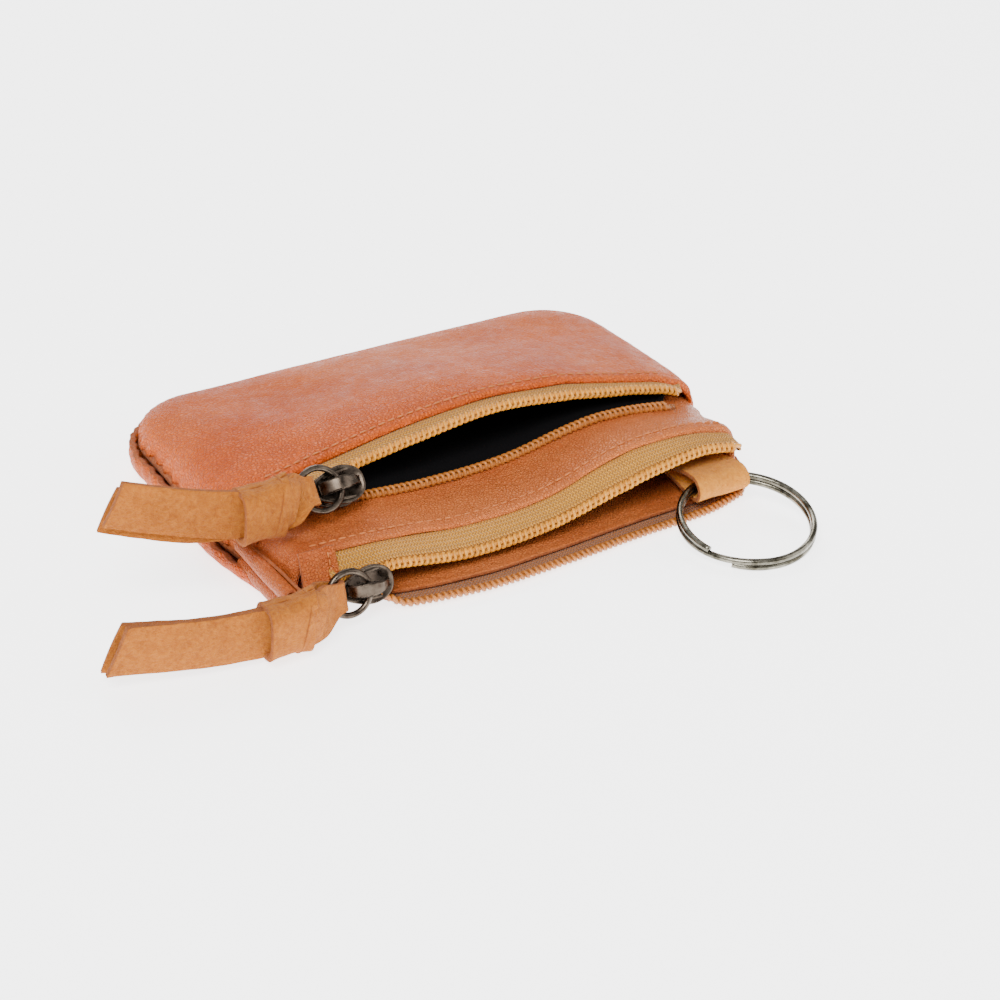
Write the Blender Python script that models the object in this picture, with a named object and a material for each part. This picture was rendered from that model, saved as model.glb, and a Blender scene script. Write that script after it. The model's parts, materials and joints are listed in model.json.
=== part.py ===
"""Two-pocket leather zip pouch, lying on its back panel with both zips open.

Metres, +Z up. The X axis runs along the zips and the mouth faces -Y. The design is drawn in
millimetres about the middle of the back panel and is carried by one empty, which centres the
bounding box on the origin.
"""

import math

import bmesh
import bpy
import numpy as np
from mathutils import Matrix, Vector

MM = 0.001
CENTRE = (-18.815, -17.263)  # middle of the whole bounding box in the design frame, mm

# Outline of the leather panels
HALF_WIDTH = 61.8
MOUTH_TAPER = 4.8  # how much narrower each side is at the mouth corners
BACK_Y = 41.5
CORNER_RADIUS = 17.0
SEAM_BACK_Z = 8.6
SEAM_MOUTH_Z = 4.6

# Thicknesses and clearances
LEATHER = 1.3
LINING = 0.4
TAPE = 0.5
GAP = 0.35

# Zips
COIL_RADIUS = 0.9
MAIN_LIP_Y = -42.0
MAIN_COIL_Y = -46.4
COIN_LIP_Y = -19.0
COIN_COIL_Y = -22.6
COIN_LOWER_COIL_Y = -25.6
ZIP_RIGHT_X = 53.0

# Sliders: centre, outward tilt of the face above the horizontal, and travel axis
MAIN_SLIDER_AT = (-42.3, -47.0, 6.9)
MAIN_SLIDER_TILT = math.radians(15)
COIN_SLIDER_AT = (-38.6, -28.0, 19.4)
COIN_SLIDER_TILT = math.radians(40)
SLIDER_LENGTH, SLIDER_WIDTH, SLIDER_HALF = 12.0, 8.6, 2.4
SLIDER_PLATE = 1.0
BAIL_HEIGHT = 3.5  # ring centre line above the slider's middle plane

# Pull rings, straps, key ring
RING_RADIUS, RING_WIRE = 4.7, 0.7
STRAP_WIDTH, STRAP_THICKNESS = 11.0, 2.4
KEY_RING_RADIUS, KEY_RING_WIRE = 14.8, 1.2
KEY_TAB_AT = (46.0, -47.6, 6.9)  # where the split ring passes through the tab
KEY_TAB_WIDTH = 11.5
KEY_RING_TILT = math.radians(10.8)
KEY_RING_TURN = math.radians(-5)

# Heights of the lips at stations along the mouth, mm
STATIONS = (-56, -36, -16, 4, 24, 34, 44, 56)
MAIN_LIP_Z = (14.5, 13.8, 11.5, 12.0, 17.2, 18.5, 18.0, 15.5)
MAIN_COIL_Z = (9.0, 8.3, 5.3, 6.2, 10.6, 12.6, 13.6, 11.6)
STRIP_BACK_Z = (13.0, 13.4, 12.0, 12.4, 15.8, 16.0, 14.8, 12.6)
COIN_LIP_Z = (19.0, 22.0, 25.3, 26.8, 25.2, 23.0, 20.6, 18.0)
COIN_COIL_Z = (18.4, 19.4, 22.2, 24.4, 22.4, 20.4, 18.8, 17.4)
MAIN_LOWER_COIL_Y = (-44.0, -50.4, -53.6, -53.0, -51.6, -51.2, -50.3, -47.0)


def stations(x, values):
    """Smooth (Catmull-Rom) reading of station values at x."""
    i = min(max(int(np.searchsorted(STATIONS, x)) - 1, 0), len(STATIONS) - 2)
    t = (x - STATIONS[i]) / (STATIONS[i + 1] - STATIONS[i])
    t = min(max(t, 0.0), 1.0)
    p = [values[min(max(i + k, 0), len(values) - 1)] for k in (-1, 0, 1, 2)]
    return p[1] + 0.5 * t * (
        p[2] - p[0] + t * (2 * p[0] - 5 * p[1] + 4 * p[2] - p[3] + t * (3 * (p[1] - p[2]) + p[3] - p[0]))
    )


def smooth(t):
    t = min(max(t, 0.0), 1.0)
    return t * t * (3 - 2 * t)


def blend(a, b, t):
    return a + (b - a) * t


def half_width(y, extra=0.0):
    """Half of the panel's width at this y, with the rounded back corners."""
    half = HALF_WIDTH - MOUTH_TAPER * smooth((-10 - y) / 32)
    inside = y - (BACK_Y - CORNER_RADIUS)
    radius = CORNER_RADIUS + extra
    if inside <= 0:
        return half + extra
    return half + extra - radius + math.sqrt(max(radius**2 - inside**2, 0.0))


def edge_distance(x, y, extra=0.0):
    """Distance in from the side and back edges."""
    radius = CORNER_RADIUS + extra
    qx = abs(x) - (HALF_WIDTH - MOUTH_TAPER * smooth((-10 - y) / 32) - CORNER_RADIUS)
    qy = y - (BACK_Y - CORNER_RADIUS)
    outside = math.hypot(max(qx, 0.0), max(qy, 0.0))
    return max(radius - outside - min(max(qx, qy), 0.0), 0.0)


def rise(distance, width):
    """Quarter-ellipse profile: 0 at the edge, 1 from width inwards."""
    return math.sqrt(1 - (1 - min(distance / width, 1.0)) ** 2)


def seam_z(y):
    return blend(SEAM_MOUTH_Z, SEAM_BACK_Z, smooth((y + 40) / 62))


def back_z(x, y):
    """Top face of the back panel."""
    return LEATHER + (seam_z(y) - LEATHER) * (1 - rise(edge_distance(x, y), 9.0))


def middle_z(x, y):
    """Outer face of the middle panel, from the main lip to the back seam."""
    lip, strip = stations(x, MAIN_LIP_Z), stations(x, STRIP_BACK_Z)
    if y < -26:
        height = blend(lip, strip, smooth((y - MAIN_LIP_Y) / 16))
    else:
        height = blend(strip, 10.2, smooth((y + 26) / 34))
    base = seam_z(y) + GAP
    return base + (height - base) * rise(edge_distance(x, y), blend(5.0, 13.0, smooth((y + 42) / 40)))


def front_z(x, y):
    """Outer face of the front panel, from the coin lip to the back seam."""
    height = blend(stations(x, COIN_LIP_Z), 14.5 - 0.012 * x, smooth((y - COIN_LIP_Y) / 66))
    base = seam_z(y) + 2 * GAP
    return base + (height - base) * rise(edge_distance(x, y, 1.7), 15.0)


def main_lip_z(x):
    return middle_z(x, MAIN_LIP_Y)


def coin_lip_z(x):
    return front_z(x, COIN_LIP_Y)


def main_coil_z(x):
    return min(stations(x, MAIN_COIL_Z), main_lip_z(x) - 3.2)


def coin_coil_z(x):
    return min(stations(x, COIN_COIL_Z), coin_lip_z(x) - 2.2)


def lower_coil_y(x):
    return stations(x, MAIN_LOWER_COIL_Y)


def material(name, colour, roughness, metallic=0.0):
    made = bpy.data.materials.new(name)
    made.use_nodes = True
    shader = made.node_tree.nodes["Principled BSDF"]
    shader.inputs["Base Color"].default_value = (*colour, 1.0)
    shader.inputs["Roughness"].default_value = roughness
    shader.inputs["Metallic"].default_value = metallic
    return made


def add(name, mesh, finish, parent):
    """Links a mesh as a smooth-shaded object under parent."""
    mesh.materials.clear()
    mesh.materials.append(finish)
    obj = bpy.data.objects.new(name, mesh)
    bpy.context.scene.collection.objects.link(obj)
    obj.parent = parent
    mesh.shade_smooth()
    mesh.set_sharp_from_angle(angle=math.radians(40))
    return obj


def empty(name, parent, matrix):
    made = bpy.data.objects.new(name, None)
    bpy.context.scene.collection.objects.link(made)
    made.parent = parent
    made.matrix_basis = matrix
    return made


def sheet(name, columns, rows, surface, thickness, finish, parent, offset=-1.0):
    """A grid laid on surface(u, v), u in -1..1 and v in 0..1, given a thickness in mm."""
    made = bmesh.new()
    bmesh.ops.create_grid(made, x_segments=columns, y_segments=rows, size=1.0)
    for vert in made.verts:
        vert.co = Vector(surface(vert.co.x, (vert.co.y + 1) / 2)) * MM
    mesh = bpy.data.meshes.new(name)
    made.to_mesh(mesh)
    made.free()
    obj = add(name, mesh, finish, parent)
    solid = obj.modifiers.new("Thickness", "SOLIDIFY")
    solid.thickness = thickness * MM
    solid.offset = offset
    return obj


def tube(name, points, radius, finish, parent, cyclic=False, resolution=2):
    """A round tube of this radius through the points, in mm, as a mesh with closed ends."""
    curve = bpy.data.curves.new(name, "CURVE")
    curve.dimensions = "3D"
    curve.bevel_depth = radius * MM
    curve.bevel_resolution = resolution
    curve.use_fill_caps = True
    spline = curve.splines.new("POLY")
    spline.points.add(len(points) - 1)
    for point, at in zip(spline.points, points):
        point.co = (*(Vector(at) * MM), 1.0)
    spline.use_cyclic_u = cyclic
    guide = bpy.data.objects.new(name + "_guide", curve)
    bpy.context.scene.collection.objects.link(guide)
    mesh = bpy.data.meshes.new_from_object(guide)
    bpy.data.objects.remove(guide)
    welded = bmesh.new()
    welded.from_mesh(mesh)
    bmesh.ops.remove_doubles(welded, verts=welded.verts, dist=1e-6)
    bmesh.ops.recalc_face_normals(welded, faces=welded.faces)
    welded.to_mesh(mesh)
    welded.free()
    return add(name, mesh, finish, parent)


def block(name, size, at, finish, parent, bevel=0.4, segments=2):
    """A box of this size in mm, with rounded edges."""
    made = bmesh.new()
    bmesh.ops.create_cube(made, size=1.0)
    bmesh.ops.scale(made, verts=made.verts, vec=Vector(size) * MM)
    bmesh.ops.bevel(made, geom=made.edges[:], offset=bevel * MM, segments=segments,
                    profile=0.5, affect="EDGES", material=-1)
    bmesh.ops.translate(made, verts=made.verts, vec=Vector(at) * MM)
    mesh = bpy.data.meshes.new(name)
    made.to_mesh(mesh)
    made.free()
    return add(name, mesh, finish, parent)


def unite(target, others):
    """Joins the other solids to the target, keeping them as hidden helpers."""
    for other in others:
        other.hide_render = True
        other.display_type = "WIRE"
        join = target.modifiers.new("Union " + other.name, "BOOLEAN")
        join.operation = "UNION"
        join.solver = "EXACT"
        join.object = other
    return target


def rows_between(near, far, v, ease=0.0):
    """y of a grid row, with rows drawn closer together towards the far edge."""
    return blend(near, far, blend(v, math.sin(v * math.pi / 2), ease))


def build_panels(pouch, leather, lining):
    def panel(surface_z, near, extra):
        def surface(u, v):
            y = rows_between(near, BACK_Y + extra, v, 0.75)
            x = half_width(y, extra) * math.sin(u * math.pi / 2 * 0.999)
            return x, y, surface_z(x, y)
        return surface

    def back_surface(u, v):
        far = BACK_Y
        x0 = half_width(MAIN_LIP_Y) * math.sin(u * math.pi / 2 * 0.999)
        near = lower_coil_y(x0) + 7.5
        y = rows_between(near, far, v, 0.75)
        x = half_width(y) * math.sin(u * math.pi / 2 * 0.999)
        return x, y, back_z(x, y)

    sheet("back_panel", 24, 16, back_surface, LEATHER, leather, pouch)
    sheet("middle_panel", 28, 18, panel(middle_z, MAIN_LIP_Y, 0.0), LEATHER, leather, pouch)
    sheet("front_panel", 28, 16, panel(front_z, COIN_LIP_Y, 1.7), LEATHER, leather, pouch)

    def lining_sheet(surface_z, near, far, inset, lift):
        def surface(u, v):
            y = blend(near, far, v)
            x = (half_width(y) - inset) * u
            return x, y, surface_z(x, y) + lift
        return surface

    sheet("main_lining_back", 16, 8, lining_sheet(back_z, -27.0, 34.0, 8.0, 1.2), LINING, lining, pouch)
    sheet("main_lining_front", 16, 10, lining_sheet(middle_z, -36.0, 34.0, 6.0, -1.95), LINING, lining, pouch)
    sheet("coin_lining_back", 16, 8, lining_sheet(middle_z, -21.0, 34.0, 6.5, 0.8), LINING, lining, pouch)
    sheet("coin_lining_front", 16, 8, lining_sheet(front_z, -13.5, 34.0, 6.5, -1.95), LINING, lining, pouch)

    def facing(u, v):
        x = 46.0 * u
        return x, lower_coil_y(x) + blend(9.6, 18.0, v), back_z(x, -35) + GAP + 0.9
    sheet("back_facing", 20, 2, facing, 0.9, leather, pouch)


def build_zips(pouch, tape, coil):
    left_main = MAIN_SLIDER_AT[0] + SLIDER_LENGTH / 2 + 0.8
    left_coin = COIN_SLIDER_AT[0] + SLIDER_LENGTH / 2 + 0.8

    def along(left, right, u):
        return blend(left, right, (u + 1) / 2)

    def main_upper(u, v):
        x = along(left_main, ZIP_RIGHT_X, u)
        lip, low = main_lip_z(x), main_coil_z(x)
        if v < 0.5:
            t = v * 2
            return x, blend(MAIN_COIL_Y + 0.5, MAIN_LIP_Y - 0.2, t), blend(low + 1.2, lip - 2.1, t)
        y = blend(MAIN_LIP_Y - 0.2, MAIN_LIP_Y + 4.5, v * 2 - 1)
        return x, y, min(lip, middle_z(x, max(y, MAIN_LIP_Y))) - 2.1

    def main_lower(u, v):
        x = along(left_main, ZIP_RIGHT_X, u)
        high = back_z(x, MAIN_LIP_Y) + GAP + TAPE + 0.1
        return x, lower_coil_y(x) + blend(1.3, 9.0, v), blend(1.3, high, min(v * 1.4, 1))

    def coin_upper(u, v):
        x = along(left_coin, ZIP_RIGHT_X, u)
        lip, low = coin_lip_z(x), coin_coil_z(x)
        if v < 0.5:
            t = v * 2
            return x, blend(COIN_COIL_Y + 0.9, COIN_LIP_Y - 0.2, t), blend(low + 1.3, lip - 2.0, t)
        return x, blend(COIN_LIP_Y - 0.2, COIN_LIP_Y + 4.0, v * 2 - 1), lip - 2.2

    def coin_lower(u, v):
        x = along(left_coin, ZIP_RIGHT_X - 4, u)
        y = COIN_LOWER_COIL_Y - blend(1.4, 5.0, 1 - v)
        return x, y, middle_z(x, y) + GAP + TAPE + 0.1

    sheet("main_tape_upper", 24, 4, main_upper, TAPE, tape, pouch)
    sheet("main_tape_lower", 24, 3, main_lower, TAPE, tape, pouch)
    sheet("coin_tape_upper", 24, 4, coin_upper, TAPE, tape, pouch)
    sheet("coin_tape_lower", 24, 2, coin_lower, TAPE, tape, pouch)

    def run(left, right, point, count=30):
        return [point(blend(left, right, i / count)) for i in range(count + 1)]

    right = ZIP_RIGHT_X - 1
    tube("main_coil_upper", run(left_main, right, lambda x: (x, MAIN_COIL_Y, main_coil_z(x))),
         COIL_RADIUS, coil, pouch)
    tube("main_coil_lower", run(left_main, right, lambda x: (x, lower_coil_y(x), 1.3)),
         COIL_RADIUS, coil, pouch)
    tube("coin_coil_upper", run(left_coin, right, lambda x: (x, COIN_COIL_Y, coin_coil_z(x))),
         COIL_RADIUS, coil, pouch)
    tube("coin_coil_lower", run(left_coin, right - 4, lambda x: (
        x, COIN_LOWER_COIL_Y, middle_z(x, COIN_LOWER_COIL_Y) + COIL_RADIUS + GAP)), COIL_RADIUS, coil, pouch)


def build_end_tabs(pouch, leather):
    def main_tab(u, v):
        x = blend(-57.0, -49.1, (u + 1) / 2)
        return x, blend(-46.4, -43.2, v), blend(3.0, 16.2, v)
    sheet("main_end_tab", 4, 6, main_tab, 1.2, leather, pouch, offset=1.0)

    def coin_tab(u, v):
        x = blend(-52.5, -45.6, (u + 1) / 2)
        return x, blend(-27.5, -20.5, v), blend(16.6, 20.2, v)
    sheet("coin_end_tab", 4, 4, coin_tab, 1.0, leather, pouch, offset=1.0)


def facing_frame(at, tilt):
    """Frame with x along the zip, y across it and z out of the slider's face."""
    across = Vector((0, math.sin(tilt), math.cos(tilt)))
    out = Vector((0, -math.cos(tilt), math.sin(tilt)))
    turn = Matrix((Vector((1, 0, 0)), across, out)).transposed().to_4x4()
    return Matrix.Translation(Vector(at) * MM) @ turn


def build_slider(prefix, frame, metal):
    """A two-plate slider with side flanges, a wedge at its open end and a bail on top."""
    body = empty(prefix + "_slider_travel", bpy.data.objects["pouch_origin"], frame)
    z_plate = SLIDER_HALF - SLIDER_PLATE / 2
    top = block(prefix + "_slider", (SLIDER_LENGTH, SLIDER_WIDTH, SLIDER_PLATE), (0, 0, z_plate),
                metal, body, 0.35)
    parts = [block(prefix + "_slider_inner", (SLIDER_LENGTH - 0.6, SLIDER_WIDTH - 0.4, SLIDER_PLATE),
                   (0, 0, -z_plate), metal, body, 0.35),
             block(prefix + "_slider_wedge", (3.4, 2.2, 2 * SLIDER_HALF - 0.8), (3.9, 0, 0), metal, body, 0.3)]
    for side in (-1, 1):
        for face in (-1, 1):
            parts.append(block(f"{prefix}_flange_{side + 1}{face + 1}", (8.0, 0.9, 1.6),
                               (-1.6, side * 3.7, face * 1.55), metal, body, 0.2))
    arch = [(-2.6 * math.cos(a), 0, SLIDER_HALF - 0.4 + 3.3 * math.sin(a))
            for a in np.linspace(0, math.pi, 13)]
    parts.append(tube(prefix + "_bail", arch, 0.6, metal, body))
    unite(top, parts)
    return body


def build_pull(prefix, slider, metal, suede, path, width_turn):
    """The jump ring, hinged at the bail, and the knotted strap, hinged at the ring's far side."""
    swing = empty(prefix + "_ring_swing", slider, Matrix.Translation((0, 0, BAIL_HEIGHT * MM)))
    circle = [(-RING_RADIUS + RING_RADIUS * math.cos(a), RING_RADIUS * math.sin(a), 0)
              for a in np.linspace(0, 2 * math.pi, 28, endpoint=False)]
    tube(prefix + "_pull_ring", circle, RING_WIRE, metal, swing, cyclic=True)
    hang = empty(prefix + "_strap_swing", swing, Matrix.Translation((-2 * RING_RADIUS * MM, 0, 0)))
    level = swing.parent.matrix_basis.to_3x3().inverted()

    def across(turn):
        """Direction of the strap's width: along the ring wire, turning upright by this share."""
        ring_way, upright = Vector((0, 1, 0)), level @ Vector((0, 0, 1))
        return ring_way.lerp(upright, turn).normalized()

    def loop(u, v):
        a = blend(-math.pi, math.pi, v)
        reach = 9.0 * smooth((abs(a) - math.pi / 2) / (math.pi / 2)) if abs(a) > math.pi / 2 else 0.0
        x = 0.9 + 1.3 * math.cos(a) if abs(a) <= math.pi / 2 else 0.9 - reach
        z = 1.5 * math.sin(a) if abs(a) <= math.pi / 2 else 1.5 * math.copysign(1, a)
        return Vector((x, 0, z)) + across(0) * u * 2.7

    points = [level @ Vector(p) for p in path]
    knot_at = points[0]

    def tail(u, v):
        place = v * (len(points) - 1)
        i = min(int(place), len(points) - 2)
        at = points[i].lerp(points[i + 1], place - i)
        at = at + (points[-1] - points[-2]).normalized() * (2.2 * u if v > 0.98 else 0.0)
        return at + across(width_turn) * u * STRAP_WIDTH / 2

    knot = block(prefix + "_pull_strap", (12.0, 11.6, 7.6), (0, 0, 0), suede, hang, 2.4, 3)
    lean = across(0.5 * width_turn)
    along = Vector((-1, 0, 0))
    turn = Matrix((along, lean, along.cross(lean).normalized())).transposed().to_4x4()
    knot.data.transform(Matrix.Translation(knot_at * MM) @ turn)
    band = sheet(prefix + "_strap_loop", 2, 20, loop, 0.9, suede, hang, offset=0.0)
    end = sheet(prefix + "_strap_tail", 4, 10, tail, STRAP_THICKNESS, suede, hang, offset=0.0)
    unite(knot, [band, end])


def build_key_ring(origin, suede, metal):
    """The sewn tab, bending at its root, and the split ring that hangs in its loop."""
    root_y = -36.0
    bend = empty("key_tab_bend", origin, Matrix.Translation(Vector((KEY_TAB_AT[0], root_y, 6.6)) * MM))
    reach = KEY_TAB_AT[1] - root_y
    lift = KEY_TAB_AT[2] - 6.6

    def tab(u, v):
        a = blend(-math.pi, math.pi, v)
        if abs(a) <= math.pi / 2:
            y, z = reach - 1.0 - 2.6 * math.cos(a), lift + 1.9 * math.sin(a)
        else:
            t = (abs(a) - math.pi / 2) / (math.pi / 2)
            y = blend(reach - 1.0, 0.0, t)
            z = blend(lift + math.copysign(1.9, a), math.copysign(0.4, a), smooth(t))
        return u * KEY_TAB_WIDTH / 2, y, z
    sheet("key_tab", 4, 28, tab, 1.2, suede, bend, offset=1.0)

    turn = Matrix.Rotation(KEY_RING_TURN, 4, "Z")
    hang = empty("key_ring_swing", bend, Matrix.Translation(Vector((0, reach, lift)) * MM) @ turn)
    drop = Matrix.Rotation(KEY_RING_TILT, 4, "X")
    circle = [drop @ Vector((KEY_RING_RADIUS * math.sin(a), -KEY_RING_RADIUS + KEY_RING_RADIUS * math.cos(a), 0))
              for a in np.linspace(0, 2 * math.pi, 48, endpoint=False)]
    tube("key_ring", circle, KEY_RING_WIRE, metal, hang, cyclic=True)


def main():
    for obj in list(bpy.data.objects):
        bpy.data.objects.remove(obj)
    leather = material("tan_leather", (0.50, 0.19, 0.078), 0.45)
    suede = material("suede_leather", (0.58, 0.27, 0.105), 0.85)
    lining = material("black_lining", (0.012, 0.012, 0.014), 0.9)
    tape = material("zip_tape", (0.52, 0.28, 0.085), 0.8)
    coil = material("zip_coil", (0.48, 0.25, 0.08), 0.45)
    gunmetal = material("gunmetal", (0.07, 0.06, 0.055), 0.35, 1.0)
    nickel = material("antique_nickel", (0.36, 0.34, 0.28), 0.35, 1.0)

    origin = empty("pouch_origin", None, Matrix.Translation((-CENTRE[0] * MM, -CENTRE[1] * MM, 0)))
    build_panels(origin, leather, lining)
    build_zips(origin, tape, coil)
    build_end_tabs(origin, leather)
    main_slider = build_slider("main", facing_frame(MAIN_SLIDER_AT, MAIN_SLIDER_TILT), gunmetal)
    coin_slider = build_slider("coin", facing_frame(COIN_SLIDER_AT, COIN_SLIDER_TILT), gunmetal)
    build_pull("main", main_slider, gunmetal, suede,
               [(-11.5, -4.6, -0.4), (-24.0, -2.6, -0.2), (-36.0, 0.4, 0.6), (-47.0, 3.4, 1.6)], 1.0)
    build_pull("coin", coin_slider, gunmetal, suede,
               [(-10.0, -2.4, -0.2), (-20.0, -1.0, 2.0), (-31.0, 2.0, 5.0), (-41.0, 5.0, 8.0)], 1.0)
    build_key_ring(origin, suede, nickel)


main()
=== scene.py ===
"""Looks of a two-pocket leather zip pouch with knotted pulls and a split key ring.

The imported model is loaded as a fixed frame. Leather, zips, sliders, pulls and linings are then
built over it in the same frame, each riding on its CAD body.
"""

import json
import logging
import math
from dataclasses import dataclass
from enum import Enum
from typing import Callable, Sequence, Union

import bmesh
import bpy
from mathutils import Matrix, Vector, noise

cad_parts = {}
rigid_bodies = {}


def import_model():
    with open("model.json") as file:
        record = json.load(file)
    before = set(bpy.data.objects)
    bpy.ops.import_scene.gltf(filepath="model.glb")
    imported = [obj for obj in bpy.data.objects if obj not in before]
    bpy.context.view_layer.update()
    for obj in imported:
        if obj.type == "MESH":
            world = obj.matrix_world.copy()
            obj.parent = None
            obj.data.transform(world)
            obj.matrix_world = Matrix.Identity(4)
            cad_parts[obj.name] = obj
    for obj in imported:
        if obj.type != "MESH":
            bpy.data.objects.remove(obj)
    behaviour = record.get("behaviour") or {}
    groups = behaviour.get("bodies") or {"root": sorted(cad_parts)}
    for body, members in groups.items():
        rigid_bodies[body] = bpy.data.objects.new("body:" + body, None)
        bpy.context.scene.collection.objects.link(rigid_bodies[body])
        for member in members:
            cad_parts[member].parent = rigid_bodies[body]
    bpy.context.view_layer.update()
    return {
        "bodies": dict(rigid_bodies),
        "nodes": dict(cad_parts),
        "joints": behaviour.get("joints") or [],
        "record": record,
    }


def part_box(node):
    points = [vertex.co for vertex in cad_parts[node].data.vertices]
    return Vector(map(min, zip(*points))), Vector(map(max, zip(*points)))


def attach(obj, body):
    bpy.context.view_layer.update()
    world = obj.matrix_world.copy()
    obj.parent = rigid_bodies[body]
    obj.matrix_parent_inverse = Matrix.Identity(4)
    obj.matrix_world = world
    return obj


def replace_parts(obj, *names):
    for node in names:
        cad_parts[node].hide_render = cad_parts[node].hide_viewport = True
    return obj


LOG = logging.getLogger("pouch")
MM = 0.001
MIDDLE = Vector((18.815, 17.263, 0.0))  # middle of the back panel in the row's frame, mm
Surface = Callable[[float, float], Vector]
Path = Callable[[float], Vector]
Value = Union[float, bpy.types.NodeSocket]
Colour = Union[tuple, bpy.types.NodeSocket]
UNDER_END = 0.10  # share of a panel's rows that are turned under its mouth edge
FOLD_END = 0.18  # share where the fold itself ends


# ---- small maths


def blend(a: float, b: float, t: float) -> float:
    """Straight mix of a and b."""
    return a + (b - a) * t


def smooth(t: float) -> float:
    """Smoothstep of t, held to 0..1."""
    t = min(max(t, 0.0), 1.0)
    return t * t * (3 - 2 * t)


def rise(distance: float, width: float) -> float:
    """Quarter-ellipse profile: 0 at the edge, 1 from width inwards."""
    return math.sqrt(max(1 - (1 - min(max(distance, 0.0) / width, 1.0)) ** 2, 0.0))


def ripple(x: float, y: float, size: float, seed: float = 0.0) -> float:
    """Soft noise of about -1..1 whose lumps are this many millimetres across."""
    return noise.noise(Vector((x / size, y / size, seed)))


# ---- finishes


class Shader:
    """A small helper round one node tree with a Principled shader in it."""

    def __init__(self, name: str) -> None:
        """Makes the material and finds its shader.

        Args:
            name: the material's name.
        """
        self.material = bpy.data.materials.new(name)
        self.material.use_nodes = True
        self.tree = self.material.node_tree
        self.principled = self.tree.nodes["Principled BSDF"]
        self.place = self.add("ShaderNodeTexCoord").outputs["Object"]

    def add(self, kind: str, **settings: object) -> bpy.types.Node:
        """Adds a node and sets its properties.

        Args:
            kind: the node's type.
            settings: its properties by name.

        Returns:
            The node.
        """
        node = self.tree.nodes.new(kind)
        for key, value in settings.items():
            setattr(node, key, value)
        return node

    def feed(self, node: bpy.types.Node, **values: object) -> bpy.types.Node:
        """Sets or links a node's inputs by name, with _ for a space.

        Args:
            node: the node.
            values: a number, colour or socket for each input.

        Returns:
            The same node.
        """
        for key, value in values.items():
            socket = node.inputs[key.replace("_", " ")]
            if isinstance(value, bpy.types.NodeSocket):
                self.tree.links.new(value, socket)
            else:
                socket.default_value = value
        return node

    def cloud(self, scale: float, detail: float = 3.0, rough: float = 0.55) -> bpy.types.NodeSocket:
        """A noise value.

        Args:
            scale: lumps for each metre.
            detail: how many finer layers are added.
            rough: strength of each finer layer.

        Returns:
            The value's socket.
        """
        node = self.feed(self.add("ShaderNodeTexNoise"), Vector=self.place, Scale=scale,
                         Detail=detail, Roughness=rough)
        return node.outputs["Fac"]

    def cells(self, scale: float) -> bpy.types.NodeSocket:
        """A distance to the nearest cell edge.

        Args:
            scale: cells for each metre.

        Returns:
            The distance's socket.
        """
        node = self.feed(self.add("ShaderNodeTexVoronoi", feature="DISTANCE_TO_EDGE"), Vector=self.place,
                         Scale=scale)
        return node.outputs["Distance"]

    def span(self, value: Value, low: float, high: float, out_low: float = 0.0,
             out_high: float = 1.0) -> bpy.types.NodeSocket:
        """Maps a range of values to another, held at its ends.

        Args:
            value: what is mapped.
            low: start of its range.
            high: end of its range.
            out_low: result at low.
            out_high: result at high.

        Returns:
            The result's socket.
        """
        node = self.feed(self.add("ShaderNodeMapRange"), Value=value)
        for socket, number in zip(list(node.inputs)[1:5], (low, high, out_low, out_high)):
            socket.default_value = number
        return node.outputs[0]

    def sum(self, operation: str, first: Value, second: Value) -> bpy.types.NodeSocket:
        """One math step between two values or sockets.

        Args:
            operation: the step's name.
            first: the first value.
            second: the second value.

        Returns:
            The result's socket.
        """
        node = self.add("ShaderNodeMath", operation=operation)
        for socket, value in zip(node.inputs, (first, second)):
            if isinstance(value, bpy.types.NodeSocket):
                self.tree.links.new(value, socket)
            else:
                socket.default_value = value
        return node.outputs[0]

    def mix(self, share: Value, first: Colour, second: Colour) -> bpy.types.NodeSocket:
        """Mixes two colours.

        Args:
            share: 0 for the first, 1 for the second.
            first: a tuple or a socket.
            second: a tuple or a socket.

        Returns:
            The colour's socket.
        """
        node = self.add("ShaderNodeMix", data_type="RGBA")
        for socket, value in ((node.inputs["Factor"], share), (node.inputs[6], first),
                              (node.inputs[7], second)):
            if isinstance(value, bpy.types.NodeSocket):
                self.tree.links.new(value, socket)
            else:
                socket.default_value = value if isinstance(value, float) else (*value, 1.0)
        return node.outputs[2]

    def bump(self, height: Value, depth: float, strength: float = 1.0,
             under: bpy.types.NodeSocket | None = None) -> bpy.types.NodeSocket:
        """A bump, over another one if it is given.

        Args:
            height: 0 to 1.
            depth: in metres.
            strength: 0 to 1.
            under: the bump below.

        Returns:
            The normal's socket.
        """
        node = self.feed(self.add("ShaderNodeBump"), Height=height, Distance=depth, Strength=strength)
        if under is not None:
            self.tree.links.new(under, node.inputs["Normal"])
        return node.outputs["Normal"]

    def close(self, **values: object) -> bpy.types.Material:
        """Sets the shader's own inputs and returns the material."""
        self.feed(self.principled, **values)
        return self.material


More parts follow.
